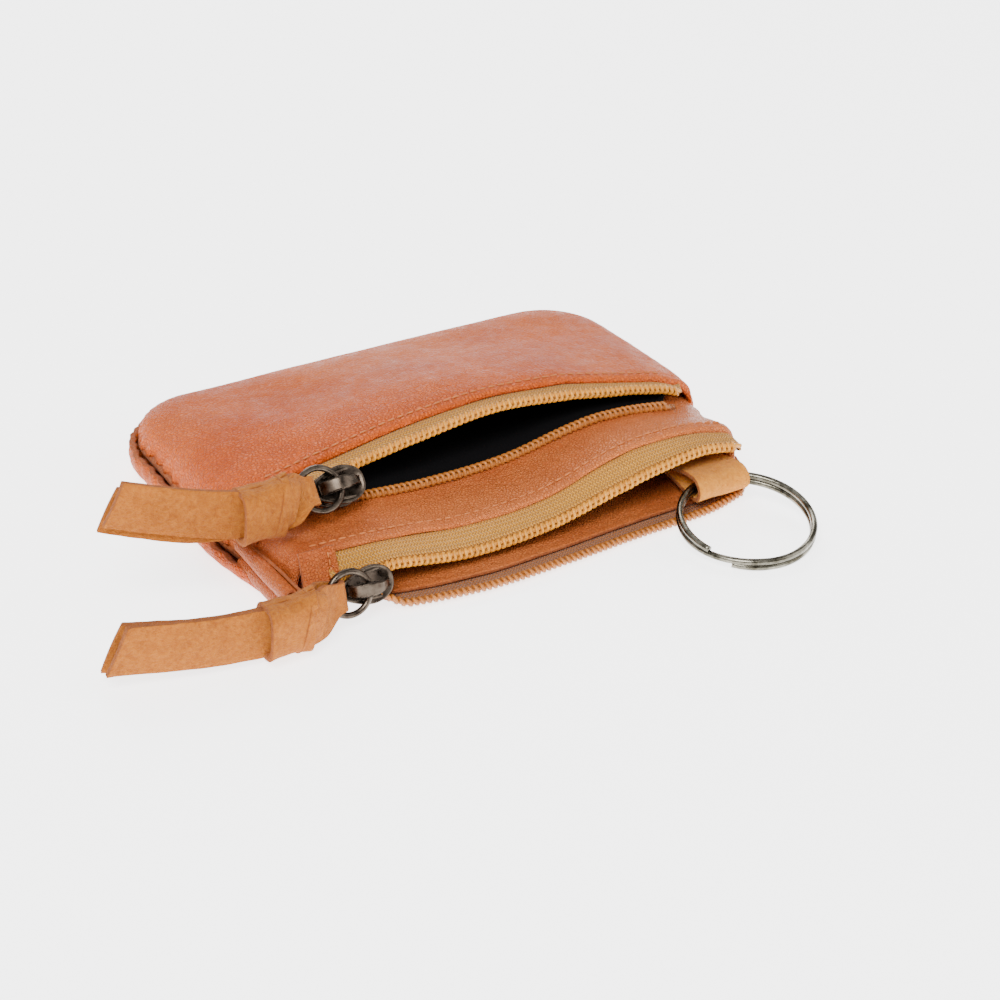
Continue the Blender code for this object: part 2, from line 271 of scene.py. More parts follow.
@dataclass(frozen=True)
class SmoothLeather:
    """Waxy dyed leather with a fine pebbled grain and mottled colour."""

    name: str
    colour: tuple
    deep: tuple
    pale: tuple
    grain: float = 1150.0
    grain_depth: float = 0.0004
    roughness: float = 0.46

    def material(self) -> bpy.types.Material:
        """Builds the leather's material.

        Returns:
            The material.
        """
        s = Shader(self.name)
        mottle = s.span(s.cloud(48, 4.0, 0.6), 0.35, 0.68)
        patches = s.span(s.cloud(16, 2.0), 0.45, 0.7)
        pores = s.cells(self.grain)
        grain = s.span(pores, 0.0, 0.24)
        speckle = s.span(s.cloud(900, 3.0, 0.7), 0.4, 0.75)
        colour = s.mix(s.sum("MULTIPLY", mottle, 0.7), self.colour, self.deep)
        colour = s.mix(s.sum("MULTIPLY", patches, 0.55), colour, self.pale)
        colour = s.mix(s.sum("MULTIPLY", s.sum("SUBTRACT", 1.0, grain), 0.5), colour, self.deep)
        colour = s.mix(s.sum("MULTIPLY", speckle, 0.22), colour, self.pale)
        creases = s.span(s.cells(150), 0.0, 0.09)
        wrinkle = s.bump(s.cloud(230, 4.0, 0.65), 0.0008, 0.6)
        crease = s.bump(creases, 0.00022, 0.5, wrinkle)
        fine = s.bump(grain, self.grain_depth, 0.8, crease)
        fine = s.bump(s.cloud(2600, 3.0), 0.00012, 0.6, fine)
        rough = s.span(s.cloud(300, 3.0), 0.3, 0.7, self.roughness - 0.07, self.roughness + 0.12)
        return s.close(Base_Color=colour, Roughness=rough, Normal=fine, Specular_IOR_Level=0.17)


@dataclass(frozen=True)
class Nubuck:
    """Sanded leather: matt, slightly furry, patchy where it has been handled."""

    name: str
    colour: tuple
    deep: tuple
    pale: tuple
    nap: float = 1050.0

    def material(self) -> bpy.types.Material:
        """Builds the nubuck's material.

        Returns:
            The material.
        """
        s = Shader(self.name)
        rubbed = s.span(s.cloud(140, 4.0, 0.65), 0.35, 0.7)
        nap = s.span(s.cloud(self.nap, 4.0, 0.75), 0.3, 0.72)
        patches = s.span(s.cloud(420, 3.0, 0.6), 0.45, 0.7)
        colour = s.mix(s.sum("MULTIPLY", rubbed, 0.6), self.colour, self.deep)
        colour = s.mix(s.sum("MULTIPLY", nap, 0.85), colour, self.pale)
        colour = s.mix(s.sum("MULTIPLY", patches, 0.25), colour, self.deep)
        soft = s.bump(s.cloud(300, 3.0), 0.0003, 0.5)
        fuzz = s.bump(nap, 0.0004, 0.9, soft)
        return s.close(Base_Color=colour, Roughness=0.92, Normal=fuzz, Sheen_Weight=0.08,
                       Sheen_Roughness=0.5, Specular_IOR_Level=0.1)


@dataclass(frozen=True)
class WovenTape:
    """Close woven zip tape, drawn on the piece's own lengthwise and crosswise map."""

    name: str
    colour: tuple
    deep: tuple
    thread: float = 0.00075
    depth: float = 0.0005

    def material(self) -> bpy.types.Material:
        """Builds the tape's material.

        Returns:
            The material.
        """
        s = Shader(self.name)
        way = s.add("ShaderNodeUVMap", uv_map="Cloth").outputs["UV"]
        apart = s.feed(s.add("ShaderNodeSeparateXYZ"), Vector=way)
        turn = 2 * math.pi / self.thread
        along = s.sum("MULTIPLY", apart.outputs[0], turn)
        across = s.sum("MULTIPLY", apart.outputs[1], turn * 0.8)
        zig = s.sum("PINGPONG", apart.outputs[1], 0.00045)
        slant = s.sum("ADD", along, s.sum("MULTIPLY", zig, turn * 1.1))
        ribs = s.span(s.sum("SINE", slant, 0.0), -1.0, 1.0)
        weft = s.span(s.sum("SINE", across, 0.0), -1.0, 1.0)
        weave = s.sum("MULTIPLY", s.sum("POWER", ribs, 0.7),
                      s.sum("ADD", 0.55, s.sum("MULTIPLY", weft, 0.45)))
        fluff = s.cloud(2400, 3.0, 0.7)
        tone = s.span(s.cloud(1500, 4.0, 0.7), 0.35, 0.7)
        colour = s.mix(s.sum("MULTIPLY", weave, 0.9), self.deep, self.colour)
        colour = s.mix(s.sum("MULTIPLY", tone, 0.4), colour, self.deep)
        normal = s.bump(weave, self.depth, 0.9, s.bump(fluff, 0.00006, 0.6))
        return s.close(Base_Color=colour, Roughness=0.82, Normal=normal, Sheen_Weight=0.15,
                       Sheen_Roughness=0.5, Specular_IOR_Level=0.25)


@dataclass(frozen=True)
class Lining:
    """Dark plain-weave pocket cloth."""

    name: str
    colour: tuple
    pale: tuple

    def material(self) -> bpy.types.Material:
        """Builds the lining's material.

        Returns:
            The material.
        """
        s = Shader(self.name)
        apart = s.feed(s.add("ShaderNodeSeparateXYZ"),
                       Vector=s.add("ShaderNodeUVMap", uv_map="Cloth").outputs["UV"])
        warp = s.sum("SINE", s.sum("MULTIPLY", apart.outputs[0], 15000.0), 0.0)
        weft = s.sum("SINE", s.sum("MULTIPLY", apart.outputs[1], 15000.0), 0.0)
        weave = s.span(s.sum("MULTIPLY", warp, weft), -1.0, 1.0)
        colour = s.mix(s.sum("MULTIPLY", weave, 0.6), self.colour, self.pale)
        folds = s.bump(s.cloud(120, 3.0), 0.0006, 0.5)
        return s.close(Base_Color=colour, Roughness=0.85, Normal=s.bump(weave, 0.00008, 0.6, folds),
                       Specular_IOR_Level=0.08)


@dataclass(frozen=True)
class Filament:
    """Moulded nylon or waxed thread: even colour with a soft shine."""

    name: str
    colour: tuple
    deep: tuple
    roughness: float

    def material(self) -> bpy.types.Material:
        """Builds the filament's material.

        Returns:
            The material.
        """
        s = Shader(self.name)
        tone = s.span(s.cloud(700, 3.0), 0.35, 0.7)
        colour = s.mix(s.sum("MULTIPLY", tone, 0.6), self.colour, self.deep)
        return s.close(Base_Color=colour, Roughness=self.roughness,
                       Normal=s.bump(s.cloud(4200, 2.0), 0.00003, 0.4), Specular_IOR_Level=0.45)


@dataclass(frozen=True)
class PlatedMetal:
    """Plated metal with a cloudy patina and paler rubbed places."""

    name: str
    colour: tuple
    rubbed: tuple
    roughness: float
    patina: float = 260.0

    def material(self) -> bpy.types.Material:
        """Builds the metal's material.

        Returns:
            The material.
        """
        s = Shader(self.name)
        wear = s.span(s.cloud(self.patina, 4.0, 0.65), 0.38, 0.72)
        flecks = s.span(s.cloud(2200, 3.0, 0.7), 0.52, 0.75)
        colour = s.mix(wear, self.colour, self.rubbed)
        colour = s.mix(s.sum("MULTIPLY", flecks, 0.35), colour, self.colour)
        rough = s.span(s.cloud(520, 3.0), 0.3, 0.7, self.roughness - 0.08, self.roughness + 0.12)
        normal = s.bump(s.cloud(2600, 2.0), 0.00003, 0.5, s.bump(s.cloud(420, 2.0), 0.00006, 0.35))
        return s.close(Base_Color=colour, Metallic=1.0, Roughness=rough, Normal=normal)


class Finish(Enum):
    """The pouch's finishes, each with the record's slot that it belongs to."""

    LEATHER = (SmoothLeather("cognac_leather", (0.61, 0.108, 0.010), (0.37, 0.044, 0.004),
                             (0.72, 0.18, 0.032)),
               "tan_leather")
    STRIP = (SmoothLeather("cognac_leather_shiny", (0.54, 0.135, 0.028), (0.30, 0.048, 0.008),
                           (0.62, 0.20, 0.055), 1400.0, 0.00025, 0.4), "tan_leather")
    CUT_EDGE = (Nubuck("cut_leather_edge", (0.33, 0.075, 0.018), (0.17, 0.032, 0.008), (0.48, 0.15, 0.045)),
                "tan_leather")
    NUBUCK = (Nubuck("honey_nubuck", (0.36, 0.098, 0.008), (0.20, 0.044, 0.003), (0.52, 0.18, 0.022)),
              "suede_leather")
    NUBUCK_PALE = (Nubuck("pale_nubuck", (0.66, 0.22, 0.016), (0.40, 0.11, 0.007), (0.80, 0.34, 0.045)),
                   "suede_leather")
    NUBUCK_EDGE = (Nubuck("nubuck_edge", (0.30, 0.075, 0.009), (0.18, 0.038, 0.004), (0.44, 0.14, 0.022),
                          1800.0),
                   "suede_leather")
    TAPE = (WovenTape("golden_tape", (0.82, 0.39, 0.035), (0.38, 0.14, 0.008)), "zip_tape")
    # A darker copy of the golden tape: painted shade for the lower rows, which sit deep in the zip mouths.
    TAPE_BACK = (WovenTape("painted_shade_tape", (0.46, 0.15, 0.024), (0.22, 0.06, 0.008)), "zip_tape")
    COIL = (Filament("golden_coil", (0.70, 0.30, 0.028), (0.42, 0.145, 0.010), 0.4), "zip_coil")
    # A darker copy of the golden coil: painted shade for the lower rows' teeth, which sit deep in the zip
    # mouths.
    COIL_BACK = (Filament("painted_shade_coil", (0.46, 0.155, 0.024), (0.24, 0.07, 0.009), 0.42), "zip_coil")
    THREAD = (Filament("tan_thread", (0.50, 0.15, 0.035), (0.34, 0.08, 0.015), 0.6), "tan_leather")
    LINING = (Lining("black_cloth", (0.0015, 0.0015, 0.0018), (0.008, 0.007, 0.008)), "black_lining")
    GUNMETAL = (PlatedMetal("gunmetal_plate", (0.045, 0.033, 0.025), (0.16, 0.125, 0.095), 0.3), "gunmetal")
    NICKEL = (PlatedMetal("antique_nickel_plate", (0.07, 0.063, 0.045), (0.34, 0.32, 0.26), 0.24),
              "antique_nickel")

    @property
    def slot(self) -> str:
        """The record's material slot."""
        return self.value[1]


class Wardrobe:
    """Makes each finish's material once."""

    def __init__(self) -> None:
        """Starts with nothing made."""
        self.made: dict[str, bpy.types.Material] = {}

    def __call__(self, finish: Finish) -> bpy.types.Material:
        """The material of this finish.

        Args:
            finish: the finish.

        Returns:
            The material.
        """
        if finish.name not in self.made:
            self.made[finish.name] = finish.value[0].material()
        return self.made[finish.name]


WARDROBE = Wardrobe()


# ---- making pieces


def finish_piece(name: str, mesh: bpy.types.Mesh, finishes: Sequence[Finish],
                 body: str) -> bpy.types.Object:
    """Links a mesh as a smooth piece that rides on a body.

    Args:
        name: the piece's name.
        mesh: its mesh, already in place.
        finishes: one finish for each material index.
        body: the CAD body that it rides on.

    Returns:
        The new object.
    """
    mesh.name = name
    mesh.materials.clear()
    for finish in finishes:
        mesh.materials.append(WARDROBE(finish))
    mesh.shade_smooth()
    piece = bpy.data.objects.new(name, mesh)
    bpy.context.scene.collection.objects.link(piece)
    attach(piece, body)
    return piece


def to_mesh(shape: bmesh.types.BMesh) -> bpy.types.Mesh:
    """Empties a bmesh into a new mesh.

    Args:
        shape: the bmesh.

    Returns:
        The mesh.
    """
    mesh = bpy.data.meshes.new("piece")
    shape.to_mesh(mesh)
    shape.free()
    return mesh


def lay_sheet(name: str, columns: int, rows: int, surface: Surface, thickness: float,
              finishes: Sequence[Finish],
              body: str, offset: float = -1.0, place: Matrix | None = None, rounded: float = 0.0,
              ring: bool = False) -> bpy.types.Object:
    """Lays a grid on a surface and gives it a thickness and a cloth map in metres.

    Args:
        name: the piece's name.
        columns: grid squares along u.
        rows: grid squares along v.
        surface: the point in millimetres at u in -1..1 and v in 0..1.
        thickness: in millimetres.
        finishes: the face's finish, then the cut edge's if it differs.
        body: the CAD body that it rides on.
        offset: -1 puts the thickness behind the face, 0 on both sides of it.
        place: frame of the points; the middle of the pouch if left out.
        rounded: radius in millimetres of the cut edges.
        ring: joins the first and last rows, for a closed band.

    Returns:
        The new piece.
    """
    shape = bmesh.new()
    bmesh.ops.create_grid(shape, x_segments=columns, y_segments=rows, size=1.0)
    way = shape.loops.layers.uv.new("Cloth")
    params = {vert: (vert.co.x, (vert.co.y + 1) / 2) for vert in shape.verts}

    def lengths(count: int, at: Callable[[float], Vector]) -> list[float]:
        """Running length in metres of a line of the grid.

        Args:
            count: how many steps it has.
            at: the line's point at 0 to 1.

        Returns:
            The lengths.
        """
        points = [at(i / count) for i in range(count + 1)]
        run = [0.0]
        for first, second in zip(points, points[1:]):
            run.append(run[-1] + (second - first).length * MM)
        return run

    along = lengths(columns, lambda t: surface(2 * t - 1, 0.5))
    across = lengths(rows, lambda t: surface(0.0, t))
    for face in shape.faces:
        for loop in face.loops:
            u, v = params[loop.vert]
            loop[way].uv = (along[round((u + 1) / 2 * columns)], across[round(v * rows)])
    frame = place if place is not None else Matrix.Translation(MIDDLE * MM)
    for vert, (u, v) in params.items():
        vert.co = frame @ (surface(u, v) * MM)
    if ring:
        bmesh.ops.remove_doubles(shape, verts=shape.verts, dist=2e-6)
    piece = finish_piece(name, to_mesh(shape), finishes, body)
    solid = piece.modifiers.new("Thickness", "SOLIDIFY")
    solid.thickness = thickness * MM
    solid.offset = offset
    solid.material_offset_rim = len(finishes) - 1
    if rounded:
        edge = piece.modifiers.new("Edge", "BEVEL")
        edge.width = rounded * MM
        edge.segments = 2
        edge.angle_limit = math.radians(50)
    return piece


def draw_tube(points: Sequence[Vector], radius: float, resolution: int = 2,
              place: Matrix | None = None) -> bmesh.types.BMesh:
    """A round tube through points, as a closed bmesh in place.

    Args:
        points: in millimetres.
        radius: in millimetres.
        resolution: how finely its section is rounded.
        place: frame of the points; the middle of the pouch if left out.

    Returns:
        The tube.
    """
    curve = bpy.data.curves.new("path", "CURVE")
    curve.dimensions = "3D"
    curve.bevel_depth = radius * MM
    curve.bevel_resolution = resolution
    curve.use_fill_caps = True
    spline = curve.splines.new("POLY")
    spline.points.add(len(points) - 1)
    frame = place if place is not None else Matrix.Translation(MIDDLE * MM)
    for target, point in zip(spline.points, points):
        target.co = (*(frame @ (point * MM)), 1.0)
    guide = bpy.data.objects.new("path", curve)
    mesh = bpy.data.meshes.new_from_object(guide)
    bpy.data.objects.remove(guide)
    shape = bmesh.new()
    shape.from_mesh(mesh)
    bmesh.ops.remove_doubles(shape, verts=shape.verts, dist=1e-7)
    bmesh.ops.recalc_face_normals(shape, faces=shape.faces)
    return shape


def gather(shapes: Sequence[bmesh.types.BMesh]) -> bpy.types.Mesh:
    """Joins several bmeshes into one mesh.

    Args:
        shapes: the bmeshes, which are freed.

    Returns:
        The mesh.
    """
    whole = bmesh.new()
    for shape in shapes:
        whole.from_mesh(to_mesh(shape))
    return to_mesh(whole)


def rounded_block(size: Sequence[float], at: Sequence[float], bevel: float, place: Matrix,
                  shaper: Callable[[Vector], Vector] | None = None, cuts: int = 0) -> bmesh.types.BMesh:
    """A block with rounded edges, reshaped by a function before its edges are rounded.

    Args:
        size: its sides in millimetres.
        at: its middle in the frame, in millimetres.
        bevel: radius of the edges.
        place: the frame.
        shaper: moves each point, in millimetres about the block's middle.
        cuts: how often each edge is cut before it is reshaped.

    Returns:
        The block as a bmesh in place.
    """
    shape = bmesh.new()
    bmesh.ops.create_cube(shape, size=1.0)
    bmesh.ops.scale(shape, verts=shape.verts, vec=Vector(size))
    if cuts:
        bmesh.ops.subdivide_edges(shape, edges=shape.edges[:], cuts=cuts, use_grid_fill=True)
    if shaper:
        for vert in shape.verts:
            vert.co = shaper(vert.co.copy())
    edges = [e for e in shape.edges if e.calc_face_angle(0.0) > math.radians(50)]
    bmesh.ops.bevel(shape, geom=edges, offset=bevel, segments=3, profile=0.5, affect="EDGES", material=-1)
    bmesh.ops.translate(shape, verts=shape.verts, vec=Vector(at))
    bmesh.ops.transform(shape, verts=shape.verts, matrix=place @ Matrix.Scale(MM, 4))
    bmesh.ops.recalc_face_normals(shape, faces=shape.faces)
    return shape


# ---- the pouch's form


@dataclass
class PouchForm:
    """The shapes that every leather and zip piece is laid on, in millimetres."""

    half: float = 61.8
    taper: float = 4.8
    back_y: float = 41.5
    corner: float = 17.0
    leather: float = 1.3
    main_lip_y: float = -42.0
    coin_lip_y: float = -19.0
    main_coil_y: float = -46.4
    coin_coil_y: float = -22.6
    strip_edge_y: float = -26.2
    stations: tuple = (-56, -36, -16, 4, 24, 34, 44, 56)
    main_lip: tuple = (14.5, 13.8, 11.5, 12.0, 17.2, 18.5, 18.0, 15.5)
    main_coil: tuple = (9.0, 8.3, 5.3, 6.2, 10.6, 12.6, 13.6, 11.6)
    strip_back: tuple = (13.0, 13.4, 12.0, 12.4, 15.8, 16.0, 14.8, 12.6)
    coin_lip: tuple = (19.0, 22.0, 25.3, 26.8, 25.2, 23.0, 20.6, 18.0)
    coin_coil: tuple = (18.4, 19.4, 22.2, 24.4, 22.4, 20.4, 18.8, 17.4)
    lower_coil: tuple = (-44.0, -50.4, -53.6, -53.0, -51.6, -51.2, -50.3, -47.0)

    def read(self, x: float, values: Sequence[float]) -> float:
        """Smooth reading of the station values.

        Args:
            x: where it is read.
            values: one value for each station.

        Returns:
            The value at x.
        """
        last = len(self.stations) - 1
        i = max(k for k in range(last) if k == 0 or self.stations[k] <= x)
        t = min(max((x - self.stations[i]) / (self.stations[i + 1] - self.stations[i]), 0.0), 1.0)
        p = [values[min(max(i + k, 0), last)] for k in (-1, 0, 1, 2)]
        return p[1] + 0.5 * t * (p[2] - p[0] + t * (2 * p[0] - 5 * p[1] + 4 * p[2] - p[3]
                                                   + t * (3 * (p[1] - p[2]) + p[3] - p[0])))

    def side(self, y: float) -> float:
        """Half of the body's width at y, before the corners are rounded."""
        return self.half - self.taper * smooth((-10 - y) / 32)

    def half_width(self, y: float, extra: float = 0.0) -> float:
        """Half of the width with the rounded back corners.

        Args:
            y: where it is read.
            extra: how far outside the body's outline.

        Returns:
            The half width.
        """
        inside, radius = y - (self.back_y - self.corner), self.corner + extra
        if inside <= 0:
            return self.side(y) + extra
        return self.side(y) + extra - radius + math.sqrt(max(radius**2 - inside**2, 0.0))

    def inward(self, x: float, y: float, extra: float = 0.0) -> tuple[float, Vector]:
        """Distance in from the side and back edges.

        Args:
            x: the point's x.
            y: the point's y.
            extra: how far outside the body's outline the edge is.

        Returns:
            The distance, and the way out to the nearest edge.
        """
        radius = self.corner + extra
        q = Vector((abs(x) - self.side(y) + self.corner, y - self.back_y + self.corner))
        outside = math.hypot(max(q.x, 0.0), max(q.y, 0.0))
        if q.x > 0 and q.y > 0:
            way = q.normalized()
        else:
            way = Vector((1, 0)) if q.x > q.y else Vector((0, 1))
        distance = radius - outside - min(max(q.x, q.y), 0.0)
        return max(distance, 0.0), Vector((way.x * math.copysign(1, x), way.y, 0))

    def seam(self, y: float) -> float:
        """Height of the seam between the back panel and the panels above it."""
        return blend(4.6, 8.6, smooth((y + 40) / 62))

    def back_z(self, x: float, y: float) -> float:
        """Inner face of the back panel."""
        return self.leather + (self.seam(y) - self.leather) * (1 - rise(self.inward(x, y)[0], 9.0))

    def middle_z(self, x: float, y: float) -> float:
        """Outer face of the middle panel.

        Args:
            x: the point's x.
            y: the point's y.

        Returns:
            Its height.
        """
        strip = self.read(x, self.strip_back)
        if y < -26:
            height = blend(self.read(x, self.main_lip), strip, smooth((y - self.main_lip_y) / 16))
        else:
            height = blend(strip, 10.2, smooth((y + 26) / 34))
        base = self.seam(y) + 0.35
        return base + (height - base) * rise(self.inward(x, y)[0], blend(5.0, 13.0, smooth((y + 42) / 40)))

    def front_z(self, x: float, y: float) -> float:
        """Outer face of the front panel.

        Args:
            x: the point's x.
            y: the point's y.

        Returns:
            Its height.
        """
        height = blend(self.read(x, self.coin_lip), 14.5 - 0.012 * x, smooth((y - self.coin_lip_y) / 66))
        base = self.seam(y) + 0.7
        return base + (height - base) * rise(self.inward(x, y, 1.7)[0], 15.0)

    def lower_coil_y(self, x: float) -> float:
        """How far out the main zip's lower edge lies."""
        return self.read(x, self.lower_coil)

    def main_coil_z(self, x: float) -> float:
        """Height of the main zip's upper teeth."""
        return min(self.read(x, self.main_coil), self.middle_z(x, self.main_lip_y) - 3.2)

    def coin_coil_z(self, x: float) -> float:
        """Height of the coin zip's upper teeth."""
        return min(self.read(x, self.coin_coil), self.front_z(x, self.coin_lip_y) - 2.2)


# ---- leather


@dataclass
class LeatherBody:
    """The three leather panels, with their edges turned and sewn."""

    form: PouchForm
    fold: float = 0.75
    ply: float = 0.62
    stitch_in: float = 2.3

    def build(self) -> list[bpy.types.Object]:
        """Makes the panels, facings, end tabs, corner rolls and stitching.

        Returns:
            The pieces.
        """
        made = [self.front(), self.strip(), self.back(), self.facing(), self.welt()]
        made += self.end_tabs() + self.corner_rolls() + self.stitching()
        return made

    def lip(self, v: float, lip_y: float, far_y: float, top: Callable[[float], float],
            tuck: float) -> tuple:
        """One row of a panel whose mouth edge is folded under.

        Args:
            v: 0 at the end of the turned-under ply, 1 at the far edge.
            lip_y: the fold's outermost y.
            far_y: y of the far edge.
            top: height of the outer face at y.
            tuck: depth of the ply turned under.

        Returns:
            y, z and how far under the fold the row is, from 0 on top to 1 below.
        """
        r, start = self.fold, lip_y + self.fold
        if v < UNDER_END:
            y = blend(start + tuck, start, v / UNDER_END)
            return y, top(y) - 2 * r, 1.0
        if v < FOLD_END:
            a = blend(math.pi, 0.0, (v - UNDER_END) / (FOLD_END - UNDER_END))
            return start - r * math.sin(a), top(start) - r * (1 - math.cos(a)), a / math.pi
        t = (v - FOLD_END) / (1 - FOLD_END)
        y = blend(start, far_y, 0.45 * t + 0.55 * math.sin(t * math.pi / 2))
        bead = 0.28 * math.exp(-(((y - start - 1.0) / 0.8) ** 2))
        groove = -0.42 * math.exp(-(((y - lip_y - self.stitch_in) / 0.55) ** 2))
        return y, top(y) + bead + groove, 0.0

    def seam_in(self, x: float, y: float, extra: float, reach: float, depth: float) -> Vector:
        """Draws a panel's last millimetres in to the seam.

        Args:
            x: the point's x.
            y: the point's y.
            extra: how far outside the outline the panel ends.
            reach: how far in the draw starts.
            depth: the draw at the edge.

        Returns:
            The move.
        """
        distance, way = self.form.inward(x, y, extra)
        pucker = 1.0 + 0.12 * math.sin(1.9 * x + 1.4 * y) + 0.25 * ripple(x, y, 7.0, 3.0)
        return way * (-depth * pucker * max(1 - distance / reach, 0.0) ** 2)

    def front(self) -> bpy.types.Object:
        """The puffed front panel over the coin pocket.

        Returns:
            The piece.
        """
        form = self.form

        def surface(u: float, v: float) -> Vector:
            """A point of the front panel's outer face.

            Args:
                u: across the grid, -1 to 1.
                v: along the grid, 0 to 1.

            Returns:
                The point.
            """
            spread = math.sin(u * math.pi / 2 * 0.999) * 0.6 + u * 0.4
            rough_x = form.half_width(form.coin_lip_y, 1.7) * spread
            y, z, under = self.lip(v, form.coin_lip_y, form.back_y + 1.7, lambda q: form.front_z(
                math.copysign(min(abs(rough_x), form.half_width(q, 1.7)), rough_x), q), 4.5)
            x = form.half_width(y, 1.7) * spread * (1 - 0.03 * under)
            if v >= FOLD_END:
                z += form.front_z(x, y) - form.front_z(
                    math.copysign(min(abs(rough_x), form.half_width(y, 1.7)), x), y)
            inside = smooth(form.inward(x, y, 1.7)[0] / 14)
            z += inside * (0.55 * ripple(x, y, 26.0, 1.0) + 0.22 * ripple(x, y, 9.0, 2.0))
            z -= 0.8 * inside * math.exp(-(((x + 20 + 0.35 * y) / 9) ** 2)) * smooth((y + 5) / 30)
            return Vector((x, y, z)) + self.seam_in(x, y, 1.7, 6.8, 3.0)

        piece = lay_sheet("front_leather", 150, 110, surface, self.ply, (Finish.LEATHER, Finish.CUT_EDGE),
                          "pouch")
        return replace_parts(piece, "front_panel")

    def strip(self) -> bpy.types.Object:
        """The middle panel, whose strip shows between the two zips.

        Returns:
            The piece.
        """
        form = self.form

        def surface(u: float, v: float) -> Vector:
            """A point of the strip's outer face.

            Args:
                u: across the grid, -1 to 1.
                v: along the grid, 0 to 1.

            Returns:
                The point.
            """
            spread = math.sin(u * math.pi / 2 * 0.999) * 0.5 + u * 0.5
            x0 = form.half_width(form.main_lip_y) * spread
            y, z, under = self.lip(v, form.main_lip_y, form.back_y - 1.0, lambda q: form.middle_z(x0, q),
                                   4.0)
            x = form.half_width(y) * spread * (1 - 0.04 * under)
            if v >= FOLD_END:
                z += form.middle_z(x, y) - form.middle_z(x0, y)
            inside = smooth(form.inward(x, y)[0] / 10)
            z += inside * (0.35 * ripple(x, y, 19.0, 5.0) + 0.15 * ripple(x, y, 7.0, 6.0))
            return Vector((x, y, z)) + self.seam_in(x, y, 0.0, 3.0, 1.2)

        piece = lay_sheet("strip_leather", 150, 80, surface, self.ply, (Finish.STRIP, Finish.CUT_EDGE),
                          "pouch")
        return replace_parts(piece, "middle_panel")

    def back(self) -> bpy.types.Object:
        """The back panel, turned up round its sides to the seam.

        Returns:
            The piece.
        """
        form = self.form

        def surface(u: float, v: float) -> Vector:
            """A point of the back panel.

            Args:
                u: across the grid, -1 to 1.
                v: along the grid, 0 to 1.

            Returns:
                The point.
            """
            spread = math.sin(u * math.pi / 2 * 0.999) * 0.6 + u * 0.4
            near = form.lower_coil_y(form.half_width(form.main_lip_y) * spread) + 6.2
            y = blend(near, form.back_y, 0.35 * v + 0.65 * math.sin(v * math.pi / 2))
            x = form.half_width(y) * spread
            distance = form.inward(x, y)[0]
            z = form.back_z(x, y) + 0.12 * ripple(x, y, 8.0, 8.0) * (1 - smooth(distance / 7))
            out = form.inward(x, y)[1] * (2.1 * (1 - smooth(distance / 4.2)))
            return Vector((x, y, z)) + out + self.seam_in(x, y, 0.0, 2.2, 2.3)

        piece = lay_sheet("back_leather", 130, 90, surface, form.leather, (Finish.LEATHER, Finish.CUT_EDGE),
                          "pouch")
        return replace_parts(piece, "back_panel")

    def facing(self) -> bpy.types.Object:
        """The leather facing inside the main pocket's lower edge.

        Returns:
            The piece.
        """
        form = self.form

        def surface(u: float, v: float) -> Vector:
            """A point of the facing's upper face.

            Args:
                u: across the grid, -1 to 1.
                v: along the grid, 0 to 1.

            Returns:
                The point.
            """
            x = 51.0 * u
            y = form.lower_coil_y(x) + blend(3.4, 19.0, v)
            lift = 0.9 * math.exp(-((v / 0.12) ** 2)) + 0.3 * math.exp(-(((v - 1) / 0.06) ** 2))
            z = form.back_z(x, max(y, -38.0)) + 1.25 + lift * 0.5 + 0.2 * ripple(x, y, 12.0, 9.0)
            return Vector((x, y, z))

        piece = lay_sheet("inside_facing", 90, 24, surface, 0.8, (Finish.STRIP, Finish.CUT_EDGE), "pouch",
                          rounded=0.2)
        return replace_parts(piece, "back_facing")

    def welt(self) -> bpy.types.Object:
        """The leather welt that closes the seam between the panels, round the sides and back.

        Returns:
            The piece.
        """
        form, inset = self.form, 2.1
        turn = form.corner - inset
        half, top = form.half - form.corner, form.back_y - form.corner
        run = [Vector((-form.side(y) + inset, y, 0)) for y in (-39, -34, -29, -24, -19, -14, -9, 0, 12)]
        run += [Vector((-half + turn * math.cos(a), top + turn * math.sin(a), 0))
                for a in (math.pi * (1 - i / 24) for i in range(13))]
        run += [Vector((-p.x, p.y, 0)) for p in reversed(run)]
        for point in run:
            point.z = form.seam(point.y) + 0.1
        shape = draw_tube(run, 1.25, resolution=3)
        return finish_piece("seam_welt", to_mesh(shape), (Finish.CUT_EDGE,), "pouch")

    def end_tabs(self) -> list[bpy.types.Object]:
        """The folded leather tabs over the zips' closed ends.

        Returns:
            The pieces.
        """
        form = self.form

        def main_tab(u: float, v: float) -> Vector:
            """A point of the main zip's end tab.

            Args:
                u: across the grid, -1 to 1.
                v: along the grid, 0 to 1.

            Returns:
                The point.
            """
            x = blend(-54.4, -46.4, (u + 1) / 2) - 0.9 * (1 - v) * (1 - u) / 2
            bulge = 0.8 * math.sin(math.pi * v) + 0.5 * math.exp(-(((u - 0.86) / 0.12) ** 2))
            groove = -0.35 * math.exp(-(((u - 0.58) / 0.08) ** 2))
            curl = 1.6 * smooth((0.12 - v) / 0.12)
            y = blend(-46.2, -42.6, v) - bulge - groove + curl + 0.25 * ripple(x, v * 14, 4.0, 11.0)
            return Vector((x, y, blend(2.6, 15.4, v)))

        def coin_tab(u: float, v: float) -> Vector:
            """A point of the coin zip's end tab.

            Args:
                u: across the grid, -1 to 1.
                v: along the grid, 0 to 1.

            Returns:
                The point.
            """
            x = blend(-57.4, -45.9, (u + 1) / 2)
            lift = 0.7 * math.sin(math.pi * v) + 0.3 * math.exp(-(((u - 0.88) / 0.08) ** 2))
            low = min(15.8, form.middle_z(x, -27.5) + 0.5)
            high = min(20.3, form.front_z(x, -19.6) + 0.4)
            return Vector((x, blend(-27.5, -19.6, v), blend(low, high, v) + lift * smooth((x + 58.0) / 6)))

